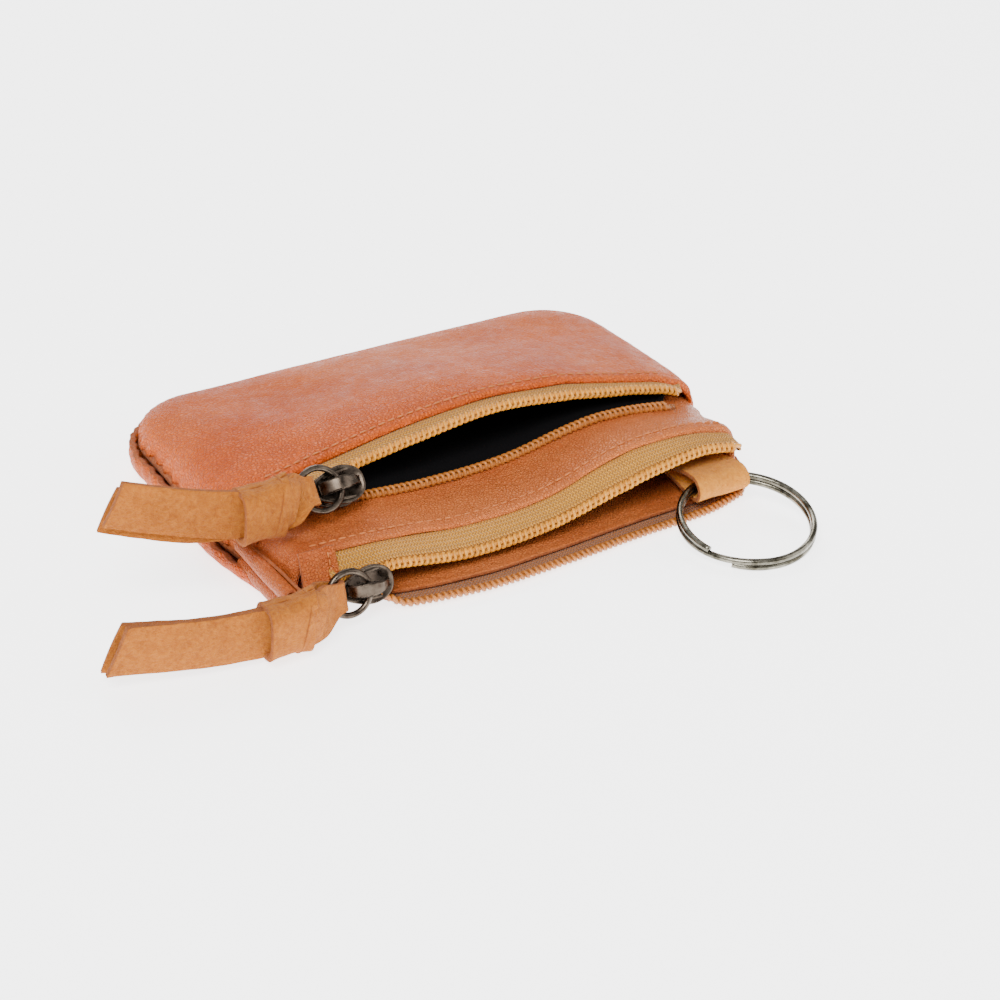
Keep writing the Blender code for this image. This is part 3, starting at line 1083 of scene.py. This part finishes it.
        first = lay_sheet("main_zip_end_tab", 28, 40, main_tab, 0.9, (Finish.STRIP, Finish.CUT_EDGE),
                          "pouch", rounded=0.25)
        second = lay_sheet("coin_zip_end_tab", 24, 24, coin_tab, 0.9, (Finish.STRIP, Finish.CUT_EDGE),
                           "pouch", rounded=0.25)
        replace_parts(first, "main_end_tab")
        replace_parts(second, "coin_end_tab")
        return [first, second]

    def corner_rolls(self) -> list[bpy.types.Object]:
        """The two rolled ends of the panels at the mouth's near corner.

        Returns:
            The pieces.
        """
        made = []
        for name, middle, size, hand in (("corner_roll_upper", Vector((-58.2, 0, 8.2)), 2.1, -1),
                                         ("corner_roll_lower", Vector((-57.9, 0, 3.9)), 2.0, 1)):
            def surface(u: float, v: float, middle: Vector = middle, size: float = size,
                        hand: int = hand) -> Vector:
                """A point of the rolled edge.

                Args:
                    u: across the grid, -1 to 1.
                    v: along the grid, 0 to 1.
                    middle: the roll's middle.
                    size: its outer radius.
                    hand: which way it turns.

                Returns:
                    The point.
                """
                a = v * 2 * math.pi * 1.45
                r = size * (1 - 0.62 * v)
                y = blend(-46.6, -24.0, (u + 1) / 2)
                fade = 1 - 0.35 * smooth((y + 40) / 18)
                lift = 0.09 * (y + 46.6)
                return Vector((middle.x - 0.05 * (y + 44) + r * fade * math.cos(hand * a + 0.6),
                               y + 0.8 * v, middle.z + lift * 0.5 + r * fade * math.sin(hand * a + 0.6)))
            made.append(lay_sheet(name, 26, 48, surface, 0.7, (Finish.STRIP, Finish.CUT_EDGE), "pouch",
                                  offset=0.0, rounded=0.15))
        return made

    def stitching(self) -> list[bpy.types.Object]:
        """The stitch lines along both mouth edges and down the main end tab.

        Returns:
            The pieces.
        """
        form = self.form

        def on_strip(x: float) -> Vector:
            """The stitch line on the strip at x."""
            y = form.main_lip_y + self.stitch_in
            return Vector((x, y, form.middle_z(x, y) + 0.2 + 0.35 * ripple(x, y, 19.0, 5.0)))

        def on_front(x: float) -> Vector:
            """The stitch line on the front at x."""
            y = form.coin_lip_y + self.stitch_in
            return Vector((x, y, form.front_z(x, y) + 0.2 + 0.5 * ripple(x, y, 26.0, 1.0)))

        def on_tab(z: float) -> Vector:
            """The stitch line on the end tab at z."""
            v = (z - 2.6) / 12.8
            return Vector((-48.1, blend(-46.2, -42.6, v) - 0.8 * math.sin(math.pi * v) + 0.1, z))

        made = []
        for name, line, start, end, ply in (("strip_stitching", on_strip, -51.0, 53.0, 2.3),
                                            ("front_stitching", on_front, -50.0, 52.0, 2.3),
                                            ("end_tab_stitching", on_tab, 4.0, 14.2, 1.5)):
            made.append(StitchRun(line, start, end, ply).build(name))
        return made


@dataclass
class StitchRun:
    """A straight lockstitch along a line: one rounded thread for each stitch."""

    line: Path
    start: float
    end: float
    pitch: float
    radius: float = 0.24

    def build(self, name: str) -> bpy.types.Object:
        """Makes the run as one piece.

        Args:
            name: the piece's name.

        Returns:
            The piece.
        """
        shapes = []
        count = round((self.end - self.start) / self.pitch)
        for i in range(count):
            first = self.line(self.start + (i + 0.1) * self.pitch)
            second = self.line(self.start + (i + 0.9) * self.pitch)
            way = second - first
            shape = bmesh.new()
            bmesh.ops.create_uvsphere(shape, u_segments=10, v_segments=6, radius=1.0)
            turn = way.to_track_quat("Z", "Y").to_matrix().to_4x4()
            size = Matrix.Diagonal((self.radius * MM, self.radius * MM, way.length / 2 * MM, 1.0))
            bmesh.ops.transform(shape, verts=shape.verts,
                                matrix=(Matrix.Translation((MIDDLE + (first + second) / 2) * MM)
                                         @ turn @ size))
            shapes.append(shape)
        return finish_piece(name, gather(shapes), (Finish.THREAD,), "pouch")


# ---- zips


class Row(Enum):
    """The four rows of zip teeth."""

    MAIN_UPPER = "main_upper"
    MAIN_LOWER = "main_lower"
    COIN_UPPER = "coin_upper"
    COIN_LOWER = "coin_lower"


@dataclass
class ZipRow:
    """One side of a zip: its woven tape and its row of coiled teeth."""

    form: PouchForm
    row: Row
    pitch: float = 1.35
    wire: float = 0.4
    width: float = 0.85
    height: float = 0.6

    def line(self, x: float) -> Vector:
        """Middle of the teeth, drawn in to the slider at the left end.

        Args:
            x: where it is read.

        Returns:
            The point.
        """
        form = self.form
        if self.row is Row.MAIN_UPPER:
            at = Vector((x, form.main_coil_y + 0.5, form.main_coil_z(x) + 0.9))
            shut = Vector((x, -47.0, 8.0))
        elif self.row is Row.MAIN_LOWER:
            at, shut = Vector((x, form.lower_coil_y(x), 1.7)), Vector((x, -47.6, 5.8))
        elif self.row is Row.COIN_UPPER:
            at = Vector((x, form.coin_coil_y + 0.5, form.coin_coil_z(x) + 0.6))
            shut = Vector((x, -27.3, 20.3))
        else:
            y = form.strip_edge_y + 0.2
            at, shut = Vector((x, y, form.middle_z(x, y) + 0.75)), Vector((x, -28.7, 18.5))
        slider = -42.3 if self.row in (Row.MAIN_UPPER, Row.MAIN_LOWER) else -38.6
        return at.lerp(shut, smooth((slider + 9.0 - x) / 10.0))

    def sides(self, x: float) -> tuple[Vector, Vector]:
        """Unit vectors from the tape to the free edge of the teeth, and out of the tape's face.

        Args:
            x: where it is read.

        Returns:
            Both directions.
        """
        towards = {Row.MAIN_UPPER: Vector((0, -0.5, -0.87)), Row.MAIN_LOWER: Vector((0, -0.92, 0.39)),
                   Row.COIN_UPPER: Vector((0, -0.62, -0.78)),
                   Row.COIN_LOWER: Vector((0, 0.42, 0.91))}[self.row]
        out = {Row.MAIN_UPPER: Vector((0, -0.87, 0.5)), Row.MAIN_LOWER: Vector((0, -0.39, -0.92)),
               Row.COIN_UPPER: Vector((0, -0.78, 0.62)), Row.COIN_LOWER: Vector((0, -0.91, 0.42))}[self.row]
        return towards, out

    @property
    def start(self) -> float:
        """x where the teeth begin, inside the end tab."""
        return -48.6 if self.row in (Row.MAIN_UPPER, Row.MAIN_LOWER) else -45.6

    @property
    def end(self) -> float:
        """x where the teeth end."""
        return {Row.MAIN_UPPER: 54.0, Row.MAIN_LOWER: 54.2, Row.COIN_UPPER: 53.6,
                Row.COIN_LOWER: 48.0}[self.row]

    def build(self) -> list[bpy.types.Object]:
        """Makes the teeth, the cord inside them and the tape.

        Returns:
            The pieces.
        """
        name = self.row.value
        # The upper rows take the golden finishes; the lower rows take darker copies of them, which are
        # painted shade.
        gold = self.row in (Row.MAIN_UPPER, Row.COIN_UPPER)
        coil = self.coil(gold)
        tape = self.tape(gold)
        zip_name, side = name.split("_")
        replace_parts(coil, f"{zip_name}_coil_{side}")
        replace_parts(tape, f"{zip_name}_tape_{side}")
        return [coil, tape]

    def coil(self, gold: bool) -> bpy.types.Object:
        """The coiled teeth, swollen at their heads, round a straight cord.

        Args:
            gold: whether the row is an upper one, in the golden finish; the lower rows take a darker copy
                of it, which is painted shade.

        Returns:
            The piece.
        """
        steps = 14
        count = int((self.end - self.start) / self.pitch)
        points = []
        for i in range(count * steps):
            a = 2 * math.pi * i / steps
            x = self.start + self.pitch * i / steps
            towards, out = self.sides(x)
            head = 1 + 0.3 * max(math.cos(a), 0.0)
            slip = Vector((0.32 * self.pitch * math.sin(2 * a) * 0.35, 0, 0))
            points.append(self.line(x) + slip + towards * (0.3 + self.width * math.cos(a))
                          + out * (self.height * head * math.sin(a)))
        cord = [self.line(blend(self.start, self.end, t / 90)) for t in range(91)]
        shapes = [draw_tube(points, self.wire, resolution=1),
                  draw_tube(cord, 0.5 if gold else 0.62, resolution=1)]
        return finish_piece(self.row.value + "_teeth", gather(shapes),
                            (Finish.COIL if gold else Finish.COIL_BACK,), "pouch")

    def tape(self, gold: bool) -> bpy.types.Object:
        """The woven tape, from under the teeth to under the leather.

        Args:
            gold: whether the row is an upper one, in the golden finish; the lower rows take a darker copy
                of it, which is painted shade.

        Returns:
            The piece.
        """
        form, row = self.form, self.row
        last = {Row.MAIN_UPPER: 56.2, Row.MAIN_LOWER: 54.8, Row.COIN_UPPER: 55.4, Row.COIN_LOWER: 49.6}[row]

        def hidden(x: float) -> list[Vector]:
            """Two points at the leather's edge and under it.

            Args:
                x: where it is read.

            Returns:
                The points.
            """
            if row is Row.MAIN_UPPER:
                z = form.middle_z(max(x, -54.0), form.main_lip_y + 0.8) - 1.75
                return [Vector((x, form.main_lip_y + 0.5, z)), Vector((x, form.main_lip_y + 5.0, z + 0.1))]
            if row is Row.COIN_UPPER:
                z = form.front_z(min(max(x, -54.0), 53.5), form.coin_lip_y + 0.8) - 1.75
                return [Vector((x, form.coin_lip_y + 0.5, z)), Vector((x, form.coin_lip_y + 5.0, z + 0.1))]
            if row is Row.MAIN_LOWER:
                y = form.lower_coil_y(x)
                return [Vector((x, y + 4.0, 1.6)), Vector((x, y + 7.5, 1.9))]
            y = form.strip_edge_y
            return [Vector((x, y + 0.5, form.middle_z(x, y) - 0.4)),
                    Vector((x, y + 1.4, form.middle_z(x, y) - 1.2))]

        def surface(u: float, v: float) -> Vector:
            """A point of the tape.

            Args:
                u: across the grid, -1 to 1.
                v: along the grid, 0 to 1.

            Returns:
                The point.
            """
            x = blend(self.start, last, (u + 1) / 2)
            end = rise(last - x, 4.5) if row in (Row.MAIN_UPPER, Row.COIN_UPPER) else 1.0
            towards, out = self.sides(x)
            edge = self.line(x) + towards * (0.85 if gold else 0.5) - out * 0.35
            near, far = hidden(x)
            near, edge = near.copy(), near.lerp(edge, end)
            if v < 0.7:
                t = v / 0.7
                at = edge.lerp(near, t) + out * (0.55 * math.sin(math.pi * t) * end)
                at += out * (0.36 * math.exp(-(((t - 0.36) / 0.05) ** 2)) * end)
            else:
                at = near.lerp(far, (v - 0.7) / 0.3)
            return at

        rows = 40 if gold else 14
        finish = Finish.TAPE if gold else Finish.TAPE_BACK
        return lay_sheet(row.value + "_cloth", 150, rows, surface, 0.5, (finish,), "pouch", offset=0.0,
                         rounded=0.12)


# ---- sliders and pulls


def joint_of(name: str) -> dict:
    """The record's joint of this name."""
    return next(j for j in FRAME["joints"] if j["name"] == name)


def hinge_frame(name: str) -> Matrix:
    """Frame at a pull's hinge: x along the zip, y along the hinge and z out of the slider.

    Args:
        name: the joint's name.

    Returns:
        The frame.
    """
    joint = joint_of(name)
    across = Vector(joint["axis"]).normalized()
    along = Vector((1, 0, 0))
    turn = Matrix((along, across, along.cross(across))).transposed().to_4x4()
    return Matrix.Translation(Vector(joint["pos_m"])) @ turn


@dataclass
class Slider:
    """A cast slider: two plates, side flanges, a wedge and a bridge that holds the ring."""

    zip_name: str
    length: float = 12.4
    width: float = 8.6
    half: float = 2.4
    plate: float = 1.0
    lift: float = 3.5

    def build(self) -> bpy.types.Object:
        """Makes the slider as one piece.

        Returns:
            The piece.
        """
        place = hinge_frame(f"{self.zip_name}_ring_swing") @ Matrix.Translation((0, 0, -self.lift * MM))
        shapes = [self.shell(place, 1), self.shell(place, -1),
                  rounded_block((3.4, 2.0, 2 * self.half - 1.2), (3.8, 0, 0), 0.3, place)]
        for hand in (-1, 1):
            for face in (-1, 1):
                def splay(point: Vector, hand: int = hand) -> Vector:
                    """Leans the rail outwards along x."""
                    return Vector((point.x, point.y + hand * 0.1 * point.x, point.z))
                shapes.append(rounded_block((6.4, 0.8, 1.5), (0.2, hand * 2.85, face * 1.5), 0.25, place,
                                            splay, 2))
        shapes.append(self.bridge(place))
        piece = finish_piece(f"{self.zip_name}_slider_casting", gather(shapes), (Finish.GUNMETAL,),
                             f"{self.zip_name}_slider")
        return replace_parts(piece, f"{self.zip_name}_slider")

    def shell(self, place: Matrix, face: int) -> bmesh.types.BMesh:
        """One plate: an egg-shaped cup with a raised rim, round at its nose.

        Args:
            place: the slider's frame.
            face: 1 for the outer plate, -1 for the inner one.

        Returns:
            The plate as a bmesh in place.
        """
        shape = bmesh.new()
        bmesh.ops.create_circle(shape, cap_ends=True, segments=44, radius=1.0)
        for vert in shape.verts:
            c, s = vert.co.x, vert.co.y
            x = self.length / 2 * math.copysign(abs(c) ** 0.85, c)
            narrow = 0.66 + 0.34 * smooth((x / self.length + 0.5) * 1.5)
            vert.co = Vector((x, self.width / 2 * math.copysign(abs(s) ** 0.8, s) * narrow, 0))
        raised = bmesh.ops.extrude_face_region(shape, geom=shape.faces[:])["geom"]
        bmesh.ops.translate(shape, verts=[g for g in raised if isinstance(g, bmesh.types.BMVert)],
                            vec=(0, 0, self.plate))
        bmesh.ops.recalc_face_normals(shape, faces=shape.faces)
        lid = [f for f in shape.faces if f.normal.z > 0.9]
        bmesh.ops.inset_region(shape, faces=lid, thickness=0.55, depth=0.0, use_even_offset=True)
        bmesh.ops.inset_region(shape, faces=lid, thickness=0.35, depth=-0.38, use_even_offset=True)
        sharp = [e for e in shape.edges if e.calc_face_angle(0.0) > math.radians(60)]
        bmesh.ops.bevel(shape, geom=sharp, offset=0.16, segments=2, profile=0.5, affect="EDGES",
                        material=-1)
        bmesh.ops.translate(shape, verts=shape.verts, vec=(0, 0, self.half - self.plate))
        if face < 0:
            bmesh.ops.rotate(shape, verts=shape.verts, matrix=Matrix.Rotation(math.pi, 3, "X"))
        bmesh.ops.transform(shape, verts=shape.verts, matrix=place @ Matrix.Scale(MM, 4))
        return shape

    def bridge(self, place: Matrix) -> bmesh.types.BMesh:
        """The arched bridge, wide over the ring and drawn in to a point at its far foot.

        Args:
            place: the slider's frame.

        Returns:
            The bmesh.
        """
        def bend(point: Vector) -> Vector:
            """Arches the block and draws its far foot in.

            Args:
                point: a point of the straight block.

            Returns:
                The point.
            """
            t = point.x / 9.6 + 0.5
            arch = math.sin(math.pi * min(max(t, 0.0), 1.0)) ** 0.62
            taper = 1.0 - 0.5 * smooth((t - 0.45) / 0.55) - 0.15 * smooth((0.2 - t) / 0.2)
            return Vector((point.x, point.y * taper, point.z * (0.85 + 0.25 * arch) + 3.3 * arch))
        return rounded_block((9.6, 3.0, 0.95), (0.4, 0, self.half - 0.55), 0.28, place, bend, 13)


@dataclass
class PullRing:
    """The round wire ring that joins the slider to its strap."""

    zip_name: str
    radius: float = 4.7
    wire: float = 0.7

    def build(self) -> bpy.types.Object:
        """Makes the ring by turning a small circle.

        Returns:
            The piece.
        """
        place = hinge_frame(f"{self.zip_name}_ring_swing")
        shape = bmesh.new()
        bmesh.ops.create_circle(shape, segments=16, radius=self.wire)
        bmesh.ops.rotate(shape, verts=shape.verts, matrix=Matrix.Rotation(math.pi / 2, 3, "X"))
        bmesh.ops.translate(shape, verts=shape.verts, vec=(self.radius, 0, 0))
        bmesh.ops.spin(shape, geom=shape.verts[:] + shape.edges[:], cent=(0, 0, 0), axis=(0, 0, 1),
                       angle=2 * math.pi, steps=64, use_merge=True)
        bmesh.ops.remove_doubles(shape, verts=shape.verts, dist=1e-4)
        bmesh.ops.recalc_face_normals(shape, faces=shape.faces)
        bmesh.ops.translate(shape, verts=shape.verts, vec=(-self.radius, 0, 0))
        bmesh.ops.transform(shape, verts=shape.verts, matrix=place @ Matrix.Scale(MM, 4))
        piece = finish_piece(f"{self.zip_name}_wire_ring", to_mesh(shape), (Finish.GUNMETAL,),
                             f"{self.zip_name}_ring")
        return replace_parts(piece, f"{self.zip_name}_pull_ring")


@dataclass
class PullStrap:
    """The nubuck strap: looped through the ring, knotted once, with two cut tails."""

    zip_name: str
    path: tuple
    sag: float
    width: float = 11.0
    ply: float = 1.25

    def build(self) -> list[bpy.types.Object]:
        """Makes the loop, the knot and both tails.

        Returns:
            The pieces.
        """
        joint = joint_of(f"{self.zip_name}_strap_swing")
        self.place = Matrix.Translation(Vector(joint["pos_m"]))
        self.ring_way = Vector(joint["axis"]).normalized()
        self.out = Vector((1, 0, 0)).cross(self.ring_way)
        self.points = [Vector(p) for p in self.path]
        made = [self.loop(), self.knot(), self.wrap(), self.tail("front", -0.75, 0.0),
                self.tail("back", 0.75, self.sag)]
        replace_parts(made[1], f"{self.zip_name}_pull_strap")
        return made

    def piece(self, name: str, columns: int, rows: int, surface: Surface,
              ring: bool = False) -> bpy.types.Object:
        """Lays one part of the strap.

        Args:
            name: the part's name.
            columns: grid squares across.
            rows: grid squares along.
            surface: its points in millimetres.
            ring: whether it is a closed band.

        Returns:
            The piece.
        """
        return lay_sheet(f"{self.zip_name}_strap_{name}", columns, rows, surface, self.ply,
                         (Finish.NUBUCK, Finish.NUBUCK_EDGE), f"{self.zip_name}_strap", offset=0.0,
                         place=self.place, rounded=0.22, ring=ring)

    def loop(self) -> bpy.types.Object:
        """The fold through the ring, narrow inside it and full width at the knot.

        Returns:
            The piece.
        """
        knot = self.points[0]

        def surface(u: float, v: float) -> Vector:
            """A point of the loop.

            Args:
                u: across the grid, -1 to 1.
                v: along the grid, 0 to 1.

            Returns:
                The point.
            """
            a = blend(-math.pi / 2, math.pi / 2, min(max((v - 0.36) / 0.28, 0.0), 1.0))
            back = max((0.36 - v) / 0.36, (v - 0.64) / 0.36, 0.0)
            x = 2.0 + 1.2 * math.cos(a) - back * (2.0 - knot.x - 3.0)
            spread = blend(3.2, self.width / 2, smooth(back * 1.9))
            side = self.ring_way.lerp(Vector((0, 0, 1)), smooth(back)).normalized()
            off = 1.2 * math.sin(a) * (1 + 0.5 * math.sin(math.pi * back))
            centre = Vector((x, 0, 0)) + Vector((0, knot.y, knot.z)) * smooth(back)
            return centre + side * (u * spread) + self.out * (off + 0.25 * ripple(x, u * 5, 3.0, 21.0))
        return self.piece("loop", 16, 56, surface)

    def knot(self) -> bpy.types.Object:
        """The band pulled tight round the strap, a flattened tube open at both ends.

        Returns:
            The piece.
        """
        centre = self.points[0]
        tall, deep, long = 6.1, 3.4, 5.3

        def surface(u: float, v: float) -> Vector:
            """A point of the band.

            Args:
                u: across the grid, -1 to 1.
                v: along the grid, 0 to 1.

            Returns:
                The point.
            """
            a = 2 * math.pi * v
            c, s = math.cos(a), math.sin(a)
            squash = 1.0 - 0.13 * (1 - u * u) * abs(c) + 0.07 * ripple(u * 5, a * 3, 3.0, 23.0)
            y = -deep * math.copysign(abs(s) ** 0.75, s) * (1 + 0.10 * u)
            z = tall * math.copysign(abs(c) ** 0.6, c) * squash
            x = -u * long + 0.9 * math.cos(a + 0.7) * (1 - u) / 2 + 0.06 * z
            return centre + Vector((x, y, z * (1 - 0.06 * u) + 0.5))
        return self.piece("knot", 22, 72, surface, ring=True)

    def wrap(self) -> bpy.types.Object:
        """The strap's crossing over the knot's ring side, at a slant.

        Returns:
            The piece.
        """
        centre = self.points[0]
        lean = math.radians(34)

        def surface(u: float, v: float) -> Vector:
            """A point of the wrap.

            Args:
                u: across the grid, -1 to 1.
                v: along the grid, 0 to 1.

            Returns:
                The point.
            """
            a = 2 * math.pi * v
            c, s = math.cos(a), math.sin(a)
            y = -2.9 * math.copysign(abs(s) ** 0.8, s) * (1 - 0.25 * u)
            z = 5.2 * math.copysign(abs(c) ** 0.7, c) * (1 - 0.16 * u)
            x = 5.9 + u * 2.4
            return centre + Vector((x + z * math.tan(lean) * 0.42 - 1.2, y, z + 0.6))
        return self.piece("wrap", 14, 64, surface, ring=True)

    def tail(self, side: str, apart: float, drop: float) -> bpy.types.Object:
        """One free end, cut at a slant, beside or just below the other.

        Args:
            side: front or back.
            apart: how far it lies off the middle.
            drop: how far it hangs down.

        Returns:
            The piece.
        """
        points = self.points
        reach = (points[-1] - points[0]).length
        way = (points[-1] - points[-2]).normalized()

        def surface(u: float, v: float) -> Vector:
            """A point of the tail.

            Args:
                u: across the grid, -1 to 1.
                v: along the grid, 0 to 1.

            Returns:
                The point.
            """
            place = min(max(v, 0.0), 0.9999) * (len(points) - 1)
            i = int(place)
            t = place - i
            p = [points[min(max(i + k, 0), len(points) - 1)] for k in (-1, 0, 1, 2)]
            at = p[1] + 0.5 * t * (p[2] - p[0] + t * (2 * p[0] - 5 * p[1] + 4 * p[2] - p[3]
                                                     + t * (3 * (p[1] - p[2]) + p[3] - p[0])))
            at = at + way * (v**3 * (-2.5 * u - 1.2 + (0.15 * self.sag if side == "back" else 0.0)))
            ruffle = 0.12 * ripple(v * reach, u, 3.0, apart)
            spread = self.width / 2 * (0.93 + 0.07 * smooth(v * 5)) + ruffle
            open_up = apart + math.copysign(0.9, apart) * v * v
            bow = 0.5 * ripple(v * reach, 0.0, 17.0, 31.0 + apart)
            return at + Vector((0, open_up + bow + 0.35 * u * u * math.copysign(1, -apart),
                                u * spread - drop * smooth(v * 1.5)))
        return self.piece(f"{side}_tail", 12, 64, surface)


# ---- key holder


@dataclass
class KeyHolder:
    """The sewn nubuck tab in the mouth's far corner and the split ring in its loop."""

    width: float = 13.0
    radius: float = 14.8
    wire: float = 0.76

    def build(self) -> list[bpy.types.Object]:
        """Makes the tab and the ring."""
        return [self.tab(), self.ring()]

    def tab(self) -> bpy.types.Object:
        """The strip folded round the ring, its plies closing towards the seam.

        Returns:
            The piece.
        """
        bend = joint_of("key_tab_bend")
        swing = joint_of("key_ring_swing")
        place = Matrix.Translation(Vector(bend["pos_m"]))
        reach = (swing["pos_m"][1] - bend["pos_m"][1]) * 1000
        lift = (swing["pos_m"][2] - bend["pos_m"][2]) * 1000

        def surface(u: float, v: float) -> Vector:
            """A point of the folded tab.

            Args:
                u: across the grid, -1 to 1.
                v: along the grid, 0 to 1.

            Returns:
                The point.
            """
            a = blend(-math.pi, math.pi, v)
            if abs(a) <= math.pi / 2:
                y, z = reach - 0.9 - 2.9 * math.cos(a), lift + 2.5 * math.sin(a)
            else:
                t = (abs(a) - math.pi / 2) / (math.pi / 2)
                y = blend(reach - 0.9, 0.5, t)
                z = blend(lift + math.copysign(2.5, a), math.copysign(0.9, a), smooth(t))
            flare = 1.0 + 0.04 * math.cos(a)
            return Vector((u * self.width / 2 * flare, y, z + 0.2 * ripple(u * 6, y, 5.0, 41.0)))
        piece = lay_sheet("key_tab_loop", 22, 80, surface, 1.2, (Finish.NUBUCK_PALE, Finish.NUBUCK_EDGE),
                          "key_tab", offset=0.0, place=place, rounded=0.25)
        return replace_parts(piece, "key_tab")

    def ring(self) -> bpy.types.Object:
        """A split ring: two turns of wire lying against each other, with cut ends.

        Returns:
            The piece.
        """
        lo, hi = (Vector(c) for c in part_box("key_ring"))
        swing = joint_of("key_ring_swing")
        hinge, middle = Vector(swing["pos_m"]), (lo + hi) / 2
        down = (middle - hinge).normalized()
        side = Vector(swing["axis"]).normalized()
        side = (side - down * side.dot(down)).normalized()
        axis = side.cross(down).normalized()
        if axis.z < 0:
            axis = -axis
        turn = Matrix((side, down, axis)).transposed().to_4x4()
        place = Matrix.Translation(hinge + down * self.radius * MM) @ turn
        turns, count = 1.94, 240
        points = []
        for i in range(count + 1):
            v = i / count
            a = turns * 2 * math.pi * (v - 0.5) + math.radians(38)
            height = blend(-0.76, 0.76, smooth((v * turns - 0.86) / 0.22))
            points.append(Vector((self.radius * math.cos(a), self.radius * math.sin(a), height)))
        shape = draw_tube(points, self.wire, resolution=3, place=place)
        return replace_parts(finish_piece("split_ring", to_mesh(shape), (Finish.NICKEL,), "key_ring"),
                           "key_ring")


# ---- linings


@dataclass
class Pockets:
    """The black cloth bags inside the two pockets."""

    form: PouchForm

    def build(self) -> list[bpy.types.Object]:
        """Makes the four lining sheets.

        Returns:
            The pieces.
        """
        form = self.form

        def sheet(surface_z: Callable[[float, float], float], near: float, inset: float,
                  mouth_inset: float, lift: float, seed: float) -> Surface:
            """The surface of one lining.

            Args:
                surface_z: height of the leather that it lines.
                near: y of its near edge.
                inset: how far it stays inside the outline.
                mouth_inset: the same at the mouth.
                lift: how far it lies off that height.
                seed: which ripple it has.

            Returns:
                The surface.
            """
            def surface(u: float, v: float) -> Vector:
                """A point of the lining.

                Args:
                    u: across the grid, -1 to 1.
                    v: along the grid, 0 to 1.

                Returns:
                    The point.
                """
                y = blend(near, 34.0, v)
                x = (form.half_width(y) - blend(mouth_inset, inset, smooth((y - near) / 14))) * u
                fold = 0.45 * ripple(x, y, 11.0, seed) * smooth(v * 4) * smooth((1 - v) * 5)
                return Vector((x, y, surface_z(x, y) + lift + fold))
            return surface

        made = []
        for name, node, face, near, inset, mouth_inset, lift, seed in (
                ("main_cloth_back", "main_lining_back", form.back_z, -32.0, 8.0, 8.0, 1.1, 51.0),
                ("main_cloth_front", "main_lining_front", form.middle_z, -37.2, 5.0, 5.0, -2.0, 52.0),
                ("coin_cloth_back", "coin_lining_back", form.middle_z, -24.6, 5.0, 12.0, 0.9, 53.0),
                ("coin_cloth_front", "coin_lining_front", form.front_z, -14.4, 5.0, 9.0, -2.4, 54.0)):
            piece = lay_sheet(name, 60, 44, sheet(face, near, inset, mouth_inset, lift, seed), 0.35,
                              (Finish.LINING,), "pouch", offset=0.0)
            made.append(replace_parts(piece, node))
        return made


# ---- studio


@dataclass
class Studio:
    """A pale floor, soft lights and the camera."""

    azimuth: float = -30.2
    elevation: float = 30.0
    lens: float = 86.4
    distance: float = 0.527

    def build(self) -> None:
        """Makes the floor, lights, world and camera."""
        self.floor()
        world = bpy.data.worlds.new("soft_white")
        world.use_nodes = True
        world.node_tree.nodes["Background"].inputs[0].default_value = (1.0, 1.0, 1.0, 1.0)
        world.node_tree.nodes["Background"].inputs[1].default_value = 0.62
        bpy.context.scene.world = world
        self.light("key_light", (-0.45, -0.55, 0.85), 0.5, 15.0)
        self.light("fill_light", (0.75, -0.55, 0.55), 0.8, 4.5)
        self.light("back_light", (0.25, 0.85, 0.7), 0.6, 8.0)
        self.camera()

    def floor(self) -> None:
        """A wide plain floor."""
        shape = bmesh.new()
        bmesh.ops.create_grid(shape, x_segments=1, y_segments=1, size=3.0)
        floor = bpy.data.objects.new("floor", to_mesh(shape))
        paint = Shader("pale_floor")
        floor.data.materials.append(paint.close(Base_Color=(0.9, 0.9, 0.9, 1.0), Roughness=0.9,
                                              Emission_Color=(1.0, 1.0, 1.0, 1.0), Emission_Strength=2.9))
        bpy.context.scene.collection.objects.link(floor)

    def light(self, name: str, at: Sequence[float], size: float, watts: float) -> None:
        """A square area light aimed at the pouch.

        Args:
            name: its name.
            at: where it is, in metres.
            size: its side in metres.
            watts: its power.
        """
        data = bpy.data.lights.new(name, "AREA")
        data.size, data.energy = size, watts
        lamp = bpy.data.objects.new(name, data)
        lamp.location = Vector(at)
        lamp.rotation_mode = "QUATERNION"
        lamp.rotation_quaternion = (Vector((0, 0, 0.01)) - Vector(at)).to_track_quat("-Z", "Y")
        bpy.context.scene.collection.objects.link(lamp)

    def camera(self) -> None:
        """The camera, looking down across the mouth from its open corner."""
        a, e = math.radians(self.azimuth), math.radians(self.elevation)
        back = Vector((math.sin(a) * math.cos(e), -math.cos(a) * math.cos(e), math.sin(e)))
        data = bpy.data.cameras.new("camera")
        data.lens, data.sensor_width = self.lens, 36.0
        data.clip_start, data.clip_end = 0.01, 20.0
        camera = bpy.data.objects.new("camera", data)
        camera.location = (MIDDLE + Vector((-1.0, -33.0, 8.0))) * MM + back * self.distance
        camera.rotation_mode = "QUATERNION"
        camera.rotation_quaternion = (-back).to_track_quat("-Z", "Y")
        bpy.context.scene.collection.objects.link(camera)
        bpy.context.scene.camera = camera


FRAME: dict = {}


def main() -> None:
    """Builds every sub-assembly over the frame."""
    logging.basicConfig(level=logging.INFO, format="%(message)s")
    FRAME.update(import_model())
    Studio().build()
    form = PouchForm()
    made = LeatherBody(form).build()
    for row in Row:
        made += ZipRow(form, row).build()
    made += Pockets(form).build()
    for zip_name in ("main", "coin"):
        made += [Slider(zip_name).build(), PullRing(zip_name).build()]
    made += PullStrap("main", ((-11.5, -4.6, -0.4), (-24.0, -2.6, -0.2), (-36.0, 0.4, 0.6),
                               (-47.0, 3.4, 1.6)),
                      0.6).build()
    made += PullStrap("coin", ((-10.0, -2.4, -0.2), (-20.0, -1.0, 2.0), (-31.0, 2.0, 5.0),
                               (-41.0, 5.0, 8.0)),
                      2.6).build()
    made += KeyHolder().build()


if __name__ == "__main__":
    main()
